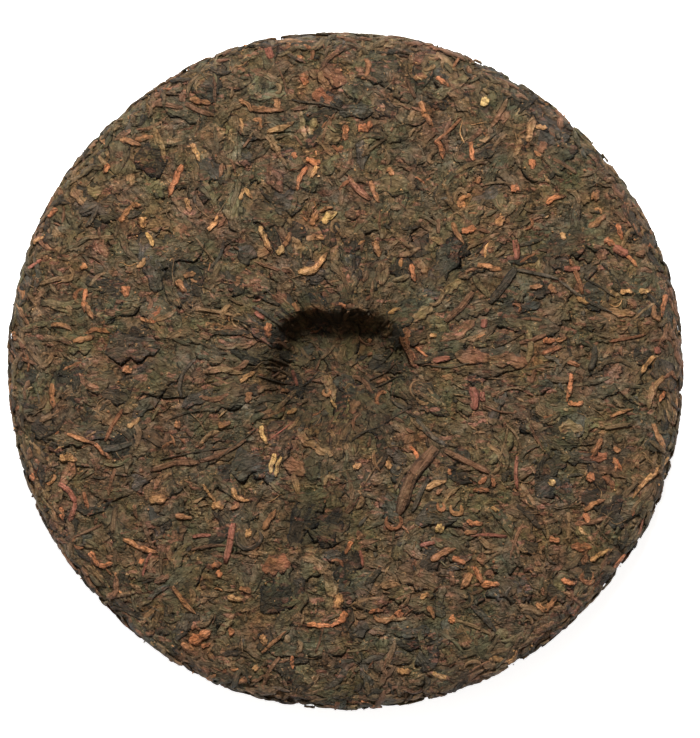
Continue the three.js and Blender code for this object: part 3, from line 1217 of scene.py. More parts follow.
@dataclass(frozen=True)
class PressMottle:
    """Blotches, warmth, yellow, dust, flecks and cracks of the pressed skin, from Object places."""

    blotch: Noise = Noise(260.0, 3.0, 0.6)
    hue: Noise = Noise(85.0, 3.0, 0.65)
    dust: Noise = Noise(1300.0, 4.0, 0.75)
    fleck: Noise = Noise(900.0, 2.0, 0.6, 1.0)
    shake: Noise = Noise(420.0, 3.0, 0.65)
    shake_reach: float = 0.003
    crack_scale: float = 230.0
    blotch_span: Pair = (0.32, 0.68)
    hue_span: Pair = (0.34, 0.66)
    dust_span: Pair = (0.3, 0.7)
    fleck_span: Pair = (0.6, 0.72)
    crack_span: Pair = (0.0, 0.09)
    healed_span: Pair = (0.42, 0.56)

    def group(self) -> Tree:
        """Builds the node group."""
        labels = ("Blotch", "Warmth", "Yellow", "Dust", "Fleck", "Crack")
        group = Group("press_mottle", {"Place": None, "Fineness": 1.0}, labels)
        nodes, place, fineness = group.nodes, group.given["Place"], group.given["Fineness"]
        singles = (self.blotch, self.dust, self.fleck)
        blotch, dust, fleck = (nodes.noise(place, form, fineness)[0] for form in singles)
        hues = nodes.split(nodes.noise(place, self.hue, fineness)["Color"])
        shaken = nodes.shaken(place, self.shake, self.shake_reach, fineness)
        crack = nodes.cracks(shaken, nodes.math("MULTIPLY", fineness, self.crack_scale))
        crack, healed = nodes.ramp(crack, self.crack_span), nodes.ramp(blotch, self.healed_span)
        spans = ((blotch, self.blotch_span), (hues["X"], self.hue_span), (hues["Y"], self.hue_span))
        spans += ((dust, self.dust_span), (fleck, self.fleck_span))
        ramps = (nodes.ramp(value, span) for value, span in spans)
        return group.close(*ramps, nodes.math("MAXIMUM", crack, healed))


@dataclass(frozen=True)
class ChoppedLeaf:
    """Chopped leaf pressed flat in patches of three directions, from Object places."""

    patches: Noise = Noise(130.0, 2.0, 0.6)
    warp: Noise = Noise(350.0, 2.0, 0.6)
    warp_reach: float = 0.002
    turns: tuple[float, ...] = (0.4, 1.5, 2.5)
    scales: tuple[float, ...] = (300.0, 950.0, 700.0)
    pick_span: Pair = (0.49, 0.53)
    gap_span: Pair = (0.5, 0.85)
    smooth_span: Pair = (0.42, 0.56)

    def group(self) -> Tree:
        """Builds the node group."""
        group = Group("chopped_leaf", {"Place": None, "Fineness": 1.0}, ("Shade", "Hue", "Gap", "Smooth"))
        nodes, place = group.nodes, group.given["Place"]
        channels = nodes.split(nodes.noise(place, self.patches)["Color"])
        warped = nodes.shaken(place, self.warp, self.warp_reach)
        picked = None
        for turn, channel in zip(self.turns, (None, channels["X"], channels["Y"])):
            mapping = {"Vector": warped, "Rotation": (0.0, 0.0, turn), "Scale": self.scales}
            turned = nodes.add("ShaderNodeMapping", **mapping).outputs[0]
            cells = nodes.add("ShaderNodeTexVoronoi", Vector=turned, Scale=group.given["Fineness"]).outputs
            draws = nodes.split(cells["Color"])
            both = nodes.joined(draws["X"], draws["Y"], cells["Distance"])
            picked = nodes.mix("MIX", nodes.ramp(channel, self.pick_span), picked, both) if picked else both
        shades = nodes.split(picked)
        gap = nodes.ramp(shades["Z"], self.gap_span, FALL)
        return group.close(shades["X"], shades["Y"], gap, nodes.ramp(channels["Z"], self.smooth_span, FALL))


@dataclass(frozen=True)
class WearAndShade:
    """The mottle and the chopped leaf that lie over every leaf's colour, with the shade and the light casts
    painted into it.

    A light is what the leaf's own light is multiplied by where a mask is 0 and where it is 1. A cast is a
    colour that the leaf's is multiplied by. The dark and light casts are painted light: warmer where the leaf
    is drawn dark, standing for warm bounce light in shade, and greyer where it is drawn light, for
    highlights.
    """

    grain: Tree
    mottle: Tree
    chopped: Tree
    blotch_light: Pair = (0.74, 1.22)
    crack_light: Pair = (0.45, 1.0)
    # How far the shade painted into the hollow, with the darker patches, darkens the leaf.
    hollow_shade_light: Pair = (1.0, 0.42)
    dust_light: Pair = (0.46, 1.56)
    chop_light: Pair = (0.7, 1.3)
    gap_light: Pair = (0.55, 1.05)
    smooth_chop: float = 0.3
    smooth_dust: float = 0.45
    least_cast: float = 0.2
    cool: Rgba = (0.76, 0.98, 1.0, 1.0)
    warm: Rgba = (1.21, 0.98, 0.9, 1.0)
    blue: Rgba = (0.99, 0.99, 1.26, 1.0)
    yellow: Rgba = (1.0, 1.02, 0.8, 1.0)
    patch: Rgba = (1.36, 1.06, 0.82, 1.0)
    # Painted light colour: a warm cast for bounce light in shade on the parts drawn dark, a greyer one for
    # highlights on the parts drawn light.
    dark: Rgba = (1.02, 0.97, 0.8, 1.0)
    light: Rgba = (0.97, 1.02, 1.15, 1.0)
    light_span: Pair = (0.4, 1.5)
    red: Tint = Tint.ROSE
    red_span: Pair = (0.8, 0.86)
    red_share: float = 0.5
    fleck: Tint = Tint.GOLD
    fleck_share: float = 0.7
    gap_relief: float = 0.8
    dust_relief: float = 0.6
    crack_relief: float = 0.8

    def over(self, nodes: Nodes, colour: object, light: object, chop: float) -> tuple[object, object]:
        """Lays it over a leaf colour.

        Args:
            nodes: The material's nodes.
            colour: The leaf's colour.
            light: How light the leaf is in its own grain.
            chop: How much of the chopped leaf shows on it, from 0 to 1.

        Returns:
            The sockets of the finished colour and of the relief.
        """
        place = nodes.object_place()
        mottle = nodes.group(self.mottle, Place=place, Fineness=1.0)
        chopped = nodes.group(self.chopped, Place=place, Fineness=1.0)
        # The first attribute is the shade painted into the hollow, added to the darker leaf of the patches.
        hollow_shade, warmth = (nodes.attribute(name, "Fac") for name in ("hollow_shade_and_dark_patches", "skin_warmth"))
        shows = nodes.ramp(chopped["Smooth"], onto=(chop, self.smooth_chop * chop))
        dusty = nodes.ramp(chopped["Smooth"], onto=(1.0, self.smooth_dust))
        masks = (
            (mottle["Blotch"], self.blotch_light),
            (mottle["Crack"], self.crack_light),
            (hollow_shade, self.hollow_shade_light),
        )
        for mask, lights in masks:
            light = nodes.math("MULTIPLY", light, nodes.ramp(mask, onto=lights))
        swings = (
            (mottle["Dust"], self.dust_light, dusty),
            (chopped["Shade"], self.chop_light, shows),
            (chopped["Gap"], self.gap_light, shows),
        )
        for mask, lights, share in swings:
            swing = nodes.math("SUBTRACT", nodes.ramp(mask, onto=lights), 1.0)
            light = nodes.math("MULTIPLY", light, nodes.math("MULTIPLY_ADD", swing, share, 1.0))
        cast_share = self.least_cast + (1.0 - self.least_cast) * chop
        casts = ((mottle["Warmth"], self.cool, self.warm), (mottle["Yellow"], self.blue, self.yellow))
        for mask, low, high in casts:
            colour = nodes.mix("MULTIPLY", cast_share, colour, nodes.mix("MIX", mask, low, high))
        colour = nodes.mix("MULTIPLY", nodes.math("MULTIPLY", warmth, chop), colour, self.patch)
        red = nodes.ramp(chopped["Hue"], self.red_span, (0.0, self.red_share))
        colour = nodes.mix("MIX", nodes.math("MULTIPLY", red, shows), colour, self.red.rgba)
        fleck = nodes.math("MULTIPLY", mottle["Fleck"], nodes.math("MULTIPLY", shows, self.fleck_share))
        colour = nodes.mix("MIX", fleck, colour, self.fleck.rgba)
        # Painted light colour: warmer bounce light where the leaf is drawn dark, greyer highlights where it
        # is drawn light.
        cast = nodes.mix("MIX", nodes.ramp(light, self.light_span), self.dark, self.light)
        colour = nodes.mix("MULTIPLY", 1.0, colour, cast)
        grey = nodes.add("ShaderNodeCombineColor", Red=light, Green=light, Blue=light).outputs[0]
        relief = nodes.math("MULTIPLY_ADD", chopped["Gap"], self.gap_relief, chopped["Shade"])
        relief = nodes.math("MULTIPLY", relief, shows)
        for output, share in ((mottle["Dust"], self.dust_relief), (mottle["Crack"], self.crack_relief)):
            relief = nodes.math("MULTIPLY_ADD", output, share, relief)
        return nodes.mix("MULTIPLY", 1.0, colour, grey), relief


@dataclass(frozen=True)
class Finish:
    """What the finishes of all pieces have in common."""

    name: str
    slot: str = "pressed_leaf"
    chop: float = 0.8
    roughness: Pair = (0.55, 0.85)
    specular: float = 0.28
    bump: float = 0.9
    bump_distance: float = 0.0005

    def material(self, wear_and_shade: WearAndShade) -> bpy.types.Material:
        """Builds the material: the finish's own colour, the wear and the painted shade and light over it,
        relief and a dry sheen.
        """
        material = bpy.data.materials.new(self.name)
        material.use_nodes = True
        nodes = Nodes(material.node_tree)
        colour, light, gloss, reliefs = self.leaf(nodes, wear_and_shade)
        colour, relief = wear_and_shade.over(nodes, colour, light, self.chop)
        for output, share in reliefs:
            relief = nodes.math("MULTIPLY_ADD", output, share, relief)
        bump = nodes.add("ShaderNodeBump", Strength=self.bump, Distance=self.bump_distance, Height=relief)
        look = {"Base Color": colour, "Specular IOR Level": self.specular, "Normal": bump.outputs[0]}
        look["Roughness"] = nodes.ramp(gloss, onto=self.roughness)
        nodes.feed(material.node_tree.nodes["Principled BSDF"], look)
        return material

    def leaf(self, nodes: Nodes, wear_and_shade: WearAndShade) -> Look:
        """Gives the colour, the light, the gloss and the reliefs. Each kind of finish has its own."""
        raise NotImplementedError


@dataclass(frozen=True)
class LeafFinish(Finish):
    """Finish of one kind of leaf over the leaves' own tints."""

    streak: Pair = (0.66, 1.34)
    crease: Pair = (0.62, 1.0)
    edge_shade: float = 0.25
    edge_span: Pair = (0.75, 1.0)
    patch: Tint = Tint.HAZEL
    patch_share: float = 0.2
    patch_span: Pair = (0.5, 0.75)
    fade: float = 0.0
    fade_fineness: float = 2.4
    fade_along: float = 0.35
    fade_span: Pair = (0.45, 0.95)
    fineness: float = 1.3
    stretch: float = 0.3
    reliefs: Pair = (0.6, 0.4)

    def leaf(self, nodes: Nodes, wear_and_shade: WearAndShade) -> Look:
        """Tint, veins, worn patches and darker edges: the colour, the light, the gloss and the reliefs."""
        uv = nodes.add("ShaderNodeUVMap", {"uv_map": "leaf_grain"}).outputs[0]
        grain = nodes.group(wear_and_shade.grain, Place=uv, Fineness=self.fineness, Stretch=self.stretch)
        streak, crease = grain["Streak"], grain["Crease"]
        place = nodes.split(nodes.attribute("leaf_place", "Vector"))
        edge = nodes.ramp(nodes.math("ABSOLUTE", place["X"]), self.edge_span, (1.0, 1.0 - self.edge_shade))
        light = nodes.ramp(streak, onto=self.streak)
        for shade in (nodes.ramp(crease, onto=self.crease), edge):
            light = nodes.math("MULTIPLY", light, shade)
        worn = nodes.ramp(streak, self.patch_span, (0.0, self.patch_share))
        if self.fade:
            spots = nodes.group(wear_and_shade.mottle, Place=nodes.object_place(), Fineness=self.fade_fineness)
            ended = nodes.math("MULTIPLY_ADD", place["Y"], self.fade_along, spots["Blotch"])
            worn = nodes.math("MAXIMUM", worn, nodes.ramp(ended, self.fade_span, (0.0, self.fade)))
        colour = nodes.mix("MIX", worn, nodes.attribute("leaf_tint", "Color"), self.patch.rgba)
        return colour, light, streak, tuple(zip((streak, crease), self.reliefs))


@dataclass(frozen=True)
class CoreFinish(Finish):
    """Finish of the compact: broken leaf, dust and cracks."""

    name: str = "core_leaf"
    chop: float = 1.0
    roughness: Pair = (0.6, 0.9)
    specular: float = 0.25
    bump: float = 1.0
    bump_distance: float = 0.0006
    dark: Tint = Tint.OLIVE
    pale: Tint = Tint.BARK
    fineness: float = 2.1
    crack_light: Pair = (0.5, 1.0)
    reliefs: Pair = (0.6, 0.5)

    def leaf(self, nodes: Nodes, wear_and_shade: WearAndShade) -> Look:
        """The mottle at twice its fineness: the colour, the light, the gloss and the reliefs."""
        fine = nodes.group(wear_and_shade.mottle, Place=nodes.object_place(), Fineness=self.fineness)
        colour = nodes.mix("MIX", fine["Blotch"], self.dark.rgba, self.pale.rgba)
        light = nodes.ramp(fine["Crack"], onto=self.crack_light)
        return colour, light, fine["Blotch"], tuple(zip((fine["Crack"], fine["Blotch"]), self.reliefs))


DARK_BLEND = blend(SOOT=2.0, OLIVE=4.0, MOSS=1.6, SLATE=1.6, UMBER=2.6)
BROWN_BLEND = blend(UMBER=3.4, BARK=3.8, HAZEL=1.2, CHESTNUT=1.4, MOSS=1.0)
WARM_BLEND = blend(BARK=2.0, HAZEL=2.4, RUSSET=1.2, CHESTNUT=1.8, AMBER=0.5)
BUD_BLEND = blend(0.25, AMBER=3.0, ORANGE=1.2, GOLD=2.0, HAZEL=3.0, RUSSET=2.0)
STALK_BLEND = blend(ROSE=1.0, RUSSET=2.0, CHESTNUT=3.0, HAZEL=2.0)
FIBRE_BLEND = blend(HAZEL=4.0, GOLD=0.4, BARK=3.0)
RIM_BLEND = blend(UMBER=3.0, SOOT=2.6, CHESTNUT=2.0, BARK=1.6, OLIVE=0.8)
MIXED_BLEND = replace(DARK_BLEND, shares=DARK_BLEND.shares + BROWN_BLEND.shares)

DARK_LEAVES = LeafKind(
    name="dark_leaves", strip=Strip(9, 6), length=Range(5.0, 16.0, 1.5), width=Range(3.0, 8.5, 1.4),
    thickness=0.16, blend=DARK_BLEND, on_back=560, on_rim=80, on_front=450, wrinkle=0.06, ragged=0.3,
    proud=0.06, shy=0.0,
)
BROWN_LEAVES = LeafKind(
    name="brown_leaves", strip=Strip(9, 6), length=Range(3.0, 11.0, 1.5), width=Range(1.6, 4.6, 1.4),
    thickness=0.2, blend=BROWN_BLEND, on_back=640, on_rim=90, on_front=430, bend=Range(-0.7, 0.7),
    wrinkle=0.08, ragged=0.3, cup=0.04, proud=0.1,
)
ROLLED_LEAVES = LeafKind(
    name="rolled_leaves", strip=Strip(8, 5), length=Range(4.0, 14.0, 1.6), width=Range(1.0, 2.4, 1.2),
    thickness=0.5, blend=MIXED_BLEND, on_back=560, on_rim=330, on_front=420, bend=Range(-1.0, 1.0),
    sway=Range(-0.35, 0.35), wrinkle=0.09, ragged=0.2, proud=0.3,
)
SHREDS = LeafKind(
    name="shreds", strip=Strip(4, 4, 1), length=Range(1.5, 5.0, 1.5), width=Range(0.5, 1.5, 1.2),
    thickness=0.4, blend=replace(MIXED_BLEND, shares=MIXED_BLEND.shares + WARM_BLEND.shares, stray=0.25),
    on_back=1500, on_rim=300, on_front=1000, bend=Range(-0.8, 0.8), wrinkle=0.06, ragged=0.3, proud=0.3,
    tip=(0.3, 0.2), follow=0.6,
)
CURLS = LeafKind(
    name="curls", strip=Strip(10, 4), length=Range(4.0, 8.0), width=Range(0.8, 1.9), thickness=0.5,
    blend=WARM_BLEND, on_back=190, on_rim=40, on_front=90, bend=Range(1.6, 3.8), wrinkle=0.08, ragged=0.25,
    proud=0.32, tip=(0.35, 0.35), dip=0.15, follow=0.2, fond=0.5,
)
BUDS = LeafKind(
    name="golden_buds", strip=Strip(8, 4), length=Range(2.0, 7.0, 1.5), width=Range(0.9, 2.1),
    thickness=0.34, blend=BUD_BLEND, on_back=330, on_rim=30, on_front=200, bend=Range(-1.6, 1.6),
    sway=Range(-0.5, 0.5), point=(5.0, 2.0), tip=(0.6, 0.2), wrinkle=0.07, ragged=0.28, proud=0.34, dip=0.2,
    follow=0.5, fond=0.93,
)
STALKS = LeafKind(
    name="stalks", strip=Strip(6, 4), length=Range(4.0, 12.0), width=Range(0.7, 1.6), thickness=0.5,
    blend=STALK_BLEND, on_back=90, on_rim=16, on_front=60, bend=Range(-0.5, 0.5), sway=Range(-0.15, 0.15),
    point=(8.0, 8.0), tip=(0.7, 0.6), wrinkle=0.06, proud=0.35, dip=0.15, follow=0.6,
)
FIBRES = LeafKind(
    name="fibres", strip=Strip(9, 3, 1), length=Range(3.0, 10.0), width=Range(0.2, 0.36), thickness=0.35,
    blend=FIBRE_BLEND, on_back=260, on_rim=0, on_front=140, bend=Range(-2.0, 2.0), sway=Range(-0.8, 0.8),
    lift=Range(0.0, 0.1), tip=(0.5, 0.3), wrinkle=0.0, proud=0.3, dip=0.1, follow=0.4,
)

RIM_STRIPS = LeafKind(
    name="rim_strips", strip=Strip(6, 4, 1), length=Range(3.0, 10.0, 1.3), width=Range(1.0, 2.6),
    thickness=0.7, blend=RIM_BLEND, on_back=0, on_rim=760, on_front=0, bend=Range(-1.1, 1.1),
    sway=Range(-0.5, 0.5), lift=Range(-0.3, 0.45), wrinkle=0.14, ragged=0.35, proud=0.55, stray=0.5, shy=0.0,
)

SHOWN_BUDS = {
    Tint.STRAW: (
        Mark(322, 221, 337, 211, 1.9), Mark(278, 255, 284, 245, 1.6), Mark(261, 426, 268, 445, 1.2, 0.5),
        Mark(275, 454, 270, 474, 1.4), Mark(281, 457, 275, 477, 1.1), Mark(147, 232, 154, 247, 1.1),
        Mark(482, 98, 490, 100, 2.4), Mark(549, 485, 554, 480, 1.6), Mark(436, 526, 443, 531, 2.3),
    ),
    Tint.GOLD: (
        Mark(298, 273, 327, 252, 1.8, 1.0), Mark(261, 226, 271, 251, 1.5, 0.5),
        Mark(208, 230, 218, 215, 1.2, 0.7), Mark(186, 198, 190, 212, 1.3), Mark(240, 382, 256, 371, 1.3),
        Mark(288, 413, 297, 407, 1.4), Mark(212, 505, 224, 508, 1.9), Mark(246, 533, 252, 534, 2.0),
        Mark(128, 428, 140, 418, 1.4), Mark(149, 500, 167, 499, 2.3), Mark(58, 457, 76, 460, 2.0),
        Mark(143, 217, 144, 228, 2.0), Mark(138, 268, 146, 258, 1.1), Mark(32, 241, 43, 235, 1.3),
        Mark(192, 143, 200, 161, 1.3), Mark(267, 131, 294, 120, 1.3, 0.7), Mark(241, 118, 242, 132, 1.0),
        Mark(317, 164, 310, 178, 1.2, -0.4), Mark(240, 200, 244, 188, 0.9),
        Mark(244, 188, 252, 199, 1.0, -0.6), Mark(538, 123, 550, 124, 1.2), Mark(563, 231, 566, 239, 1.2),
        Mark(577, 297, 593, 303, 1.5), Mark(621, 291, 634, 291, 1.3), Mark(640, 291, 652, 289, 1.4),
        Mark(655, 355, 642, 373, 1.2), Mark(669, 457, 633, 498, 1.3, 0.4), Mark(425, 488, 446, 481, 1.6),
        Mark(388, 461, 389, 470, 1.6), Mark(331, 398, 337, 408, 0.8), Mark(353, 468, 362, 465, 1.4),
        Mark(341, 593, 335, 609, 2.0), Mark(262, 634, 266, 645, 1.6), Mark(254, 665, 258, 669, 1.5),
        Mark(397, 668, 411, 669, 1.4, 0.5), Mark(432, 671, 448, 678, 1.4),
        Mark(487, 656, 508, 661, 1.4, -0.7), Mark(507, 661, 516, 648, 1.2, 0.9),
        Mark(497, 224, 505, 216, 2.3), Mark(388, 313, 401, 308, 1.2), Mark(430, 336, 437, 335, 1.3),
        Mark(420, 597, 429, 593, 1.2), Mark(228, 596, 243, 600, 1.3), Mark(590, 560, 612, 547, 1.1),
        Mark(232, 488, 250, 501, 1.2, 1.2), Mark(203, 485, 216, 503, 0.9),
    ),
    Tint.AMBER: (
        Mark(312, 225, 319, 211, 1.7, -0.8), Mark(320, 211, 333, 207, 0.9, -0.4),
        Mark(284, 247, 291, 232, 1.3), Mark(177, 280, 187, 292, 1.6, 0.4), Mark(184, 277, 196, 273, 1.4),
        Mark(293, 303, 300, 312, 1.5), Mark(250, 392, 247, 403, 1.6), Mark(282, 389, 290, 389, 1.1),
        Mark(218, 426, 231, 423, 1.9), Mark(174, 425, 181, 425, 2.0), Mark(263, 529, 276, 509, 1.5, 0.2),
        Mark(175, 516, 192, 519, 1.3), Mark(50, 383, 51, 409, 1.3), Mark(65, 435, 96, 446, 1.0, -0.4),
        Mark(122, 541, 157, 555, 1.3, -0.2), Mark(101, 134, 106, 144, 1.2), Mark(120, 138, 141, 144, 1.4),
        Mark(120, 222, 132, 205, 1.3), Mark(132, 204, 142, 206, 1.3), Mark(86, 302, 93, 319, 1.1, 0.4),
        Mark(50, 325, 71, 330, 1.2, -1.0), Mark(72, 341, 94, 336, 1.5), Mark(21, 285, 23, 301, 1.3),
        Mark(10, 330, 13, 339, 1.3), Mark(140, 318, 153, 323, 1.0), Mark(123, 368, 131, 373, 2.0),
        Mark(190, 97, 211, 102, 1.4, 0.5), Mark(250, 107, 284, 109, 1.4, 0.5),
        Mark(239, 100, 252, 112, 1.2, -1.0), Mark(276, 98, 278, 109, 1.6), Mark(420, 99, 433, 125, 1.5),
        Mark(370, 180, 379, 203, 1.3), Mark(388, 167, 394, 174, 1.4), Mark(478, 182, 481, 175, 1.4),
        Mark(594, 193, 602, 194, 2.2), Mark(591, 226, 608, 213, 1.6), Mark(530, 287, 543, 286, 1.3),
        Mark(549, 285, 557, 293, 1.5), Mark(556, 341, 568, 337, 1.1), Mark(611, 416, 634, 408, 0.8),
        Mark(655, 423, 665, 452, 1.5, 0.5), Mark(593, 455, 602, 438, 1.5), Mark(613, 449, 621, 450, 1.3),
        Mark(614, 457, 616, 471, 0.9), Mark(583, 510, 604, 498, 1.2), Mark(464, 533, 478, 531, 1.1),
        Mark(430, 560, 455, 547, 1.5), Mark(471, 573, 460, 588, 1.7), Mark(172, 587, 196, 614, 1.2),
        Mark(182, 642, 196, 651, 1.6), Mark(262, 652, 287, 630, 0.9), Mark(207, 679, 216, 673, 1.5),
        Mark(236, 681, 252, 675, 1.4), Mark(428, 605, 434, 618, 1.2), Mark(240, 587, 252, 592, 1.3),
        Mark(478, 264, 502, 270, 1.4), Mark(374, 241, 380, 257, 1.8), Mark(452, 222, 464, 244, 1.1),
        Mark(536, 603, 544, 611, 1.3), Mark(544, 610, 556, 595, 1.3),
    ),
    Tint.ORANGE: (
        Mark(269, 323, 267, 338, 1.7), Mark(94, 444, 109, 459, 1.1), Mark(28, 474, 33, 480, 1.7),
        Mark(60, 507, 62, 521, 1.2), Mark(88, 553, 97, 568, 1.5), Mark(97, 568, 112, 564, 1.2),
        Mark(183, 165, 169, 197, 1.5, 0.3), Mark(109, 163, 104, 173, 1.2), Mark(125, 286, 126, 297, 2.2),
        Mark(85, 288, 83, 312, 1.1, -0.2), Mark(46, 213, 58, 208, 1.9), Mark(346, 123, 345, 139, 1.6),
        Mark(293, 152, 296, 159, 1.2), Mark(306, 159, 321, 163, 1.6), Mark(307, 166, 296, 191, 1.1, 0.3),
        Mark(358, 125, 372, 119, 2.0, 1.5), Mark(436, 138, 444, 157, 1.3, -0.6),
        Mark(471, 140, 474, 161, 1.2), Mark(437, 74, 450, 84, 1.1), Mark(512, 187, 521, 186, 2.0),
        Mark(532, 157, 535, 167, 1.5), Mark(547, 202, 567, 194, 1.2, -0.5), Mark(619, 222, 624, 239, 1.2),
        Mark(606, 238, 616, 244, 1.6), Mark(628, 254, 639, 265, 1.0), Mark(667, 293, 662, 316, 1.4),
        Mark(543, 341, 556, 340, 1.5), Mark(573, 374, 568, 402, 1.2, 0.3),
        Mark(568, 402, 584, 401, 1.2, 1.4), Mark(667, 391, 661, 401, 1.2), Mark(616, 459, 621, 471, 0.8),
        Mark(586, 476, 594, 479, 2.2), Mark(584, 513, 588, 523, 1.4), Mark(549, 539, 560, 540, 1.5),
        Mark(625, 553, 613, 568, 1.2), Mark(466, 522, 483, 524, 1.3), Mark(352, 541, 345, 554, 1.2),
        Mark(452, 557, 465, 563, 1.5), Mark(474, 566, 483, 583, 1.4, 0.3),
        Mark(481, 583, 499, 583, 1.6, 0.4), Mark(307, 624, 332, 625, 1.2), Mark(330, 625, 346, 619, 0.9),
        Mark(346, 611, 340, 621, 1.8), Mark(190, 641, 212, 630, 2.4), Mark(202, 645, 211, 643, 1.1),
        Mark(229, 632, 235, 630, 1.9), Mark(361, 700, 382, 705, 1.2), Mark(449, 617, 455, 620, 1.9),
        Mark(369, 612, 384, 611, 0.9, -1.0), Mark(397, 610, 401, 617, 2.0), Mark(292, 655, 293, 668, 0.9),
        Mark(212, 566, 222, 564, 1.4), Mark(218, 570, 221, 578, 1.3), Mark(411, 264, 415, 282, 1.3),
        Mark(462, 231, 477, 228, 1.7), Mark(562, 578, 575, 582, 1.4, 1.2), Mark(340, 303, 347, 307, 0.9),
    ),
}
SHOWN_STALKS = {
    Tint.BARK: (
        Mark(413, 465, 395, 491, 0.8, 0.6), Mark(320, 357, 335, 343, 0.7), Mark(300, 345, 311, 358, 0.9),
        Mark(24, 345, 43, 369, 0.9), Mark(196, 238, 215, 262, 0.6), Mark(229, 298, 243, 305, 0.7),
        Mark(497, 400, 523, 392, 0.5, -2.0), Mark(505, 425, 519, 455, 0.6, -1.2),
        Mark(117, 505, 113, 534, 1.2, 0.6), Mark(482, 184, 514, 182, 0.6, -0.4),
        Mark(605, 428, 632, 424, 1.1),
    ),
    Tint.CHESTNUT: (
        Mark(434, 446, 396, 513, 2.9, 0.05), Mark(443, 450, 489, 473, 1.6), Mark(185, 103, 214, 115, 1.3),
        Mark(150, 100, 183, 106, 1.2, 0.4), Mark(524, 318, 542, 320, 0.8),
        Mark(385, 690, 403, 684, 0.8, -0.8), Mark(403, 684, 423, 688, 0.8, 1.0),
        Mark(312, 373, 320, 357, 0.6), Mark(630, 223, 648, 222, 1.3), Mark(446, 322, 474, 292, 1.7),
        Mark(150, 470, 200, 462, 1.4, -0.2), Mark(200, 462, 246, 440, 1.2, 0.3),
    ),
    Tint.ROSE: (
        Mark(291, 368, 296, 384, 1.6), Mark(433, 361, 450, 358, 1.6), Mark(234, 523, 226, 563, 1.6),
        Mark(516, 239, 518, 259, 1.6), Mark(267, 44, 271, 56, 1.8), Mark(24, 268, 41, 259, 0.9),
        Mark(57, 484, 74, 503, 1.3, -0.8), Mark(74, 503, 68, 522, 1.2, -0.4), Mark(473, 387, 475, 410, 2.0),
        Mark(482, 392, 483, 402, 1.2), Mark(517, 456, 517, 489, 0.9, 0.3), Mark(565, 268, 581, 268, 1.3),
        Mark(360, 550, 363, 566, 0.8), Mark(255, 312, 264, 319, 1.2), Mark(192, 537, 211, 535, 0.9),
        Mark(615, 246, 629, 254, 2.0), Mark(484, 319, 484, 328, 1.5), Mark(658, 346, 659, 353, 1.5),
    ),
    Tint.SOOT: (
        Mark(412, 407, 385, 424, 0.6, 0.2), Mark(385, 424, 352, 441, 0.5, 0.2),
        Mark(256, 376, 290, 383, 0.4, 0.2), Mark(299, 386, 319, 369, 0.4, 0.3),
        Mark(370, 379, 402, 360, 0.35, -0.3), Mark(376, 385, 404, 375, 0.3, -0.2),
        Mark(430, 367, 470, 364, 0.4, 0.2), Mark(215, 460, 256, 428, 0.4, 0.3),
        Mark(160, 461, 236, 448, 0.35, -0.3), Mark(292, 96, 348, 106, 0.5, 0.3),
        Mark(40, 438, 64, 416, 0.6, 0.7), Mark(588, 278, 616, 296, 0.4, 0.2),
    ),
    Tint.SLATE: (
        Mark(592, 370, 596, 345, 1.4), Mark(490, 303, 516, 268, 1.9, 0.1), Mark(428, 478, 412, 511, 1.1),
        Mark(80, 213, 98, 205, 1.0, -0.4), Mark(98, 205, 86, 226, 1.0, -0.6),
        Mark(252, 308, 284, 330, 0.9, -0.8), Mark(100, 450, 132, 443, 1.6, 0.3),
        Mark(182, 398, 196, 360, 0.9, -1.2), Mark(515, 270, 560, 280, 0.8, -0.3),
        Mark(560, 280, 612, 312, 0.7, 0.3),
    ),
}
SHOWN_FLATS = {
    Tint.SOOT: (
        Mark(134, 158, 168, 160, 7.0), Mark(290, 545, 318, 500, 6.0), Mark(262, 612, 292, 580, 7.0),
        Mark(322, 548, 340, 508, 5.0),
    ),
    Tint.SLATE: (
        Mark(434, 284, 458, 240, 5.6), Mark(240, 262, 252, 246, 4.2), Mark(414, 520, 460, 514, 5.0),
        Mark(152, 258, 156, 292, 4.2), Mark(104, 352, 160, 346, 6.6), Mark(230, 470, 262, 460, 7.0),
    ),
    Tint.OLIVE: (
        Mark(150, 262, 205, 240, 6.6), Mark(300, 520, 345, 540, 5.0), Mark(120, 390, 180, 372, 7.6),
        Mark(500, 322, 560, 330, 4.6),
    ),
    Tint.UMBER: (Mark(548, 250, 592, 240, 6.6), Mark(250, 212, 288, 216, 6.2), Mark(455, 368, 520, 366, 4.6)),
}
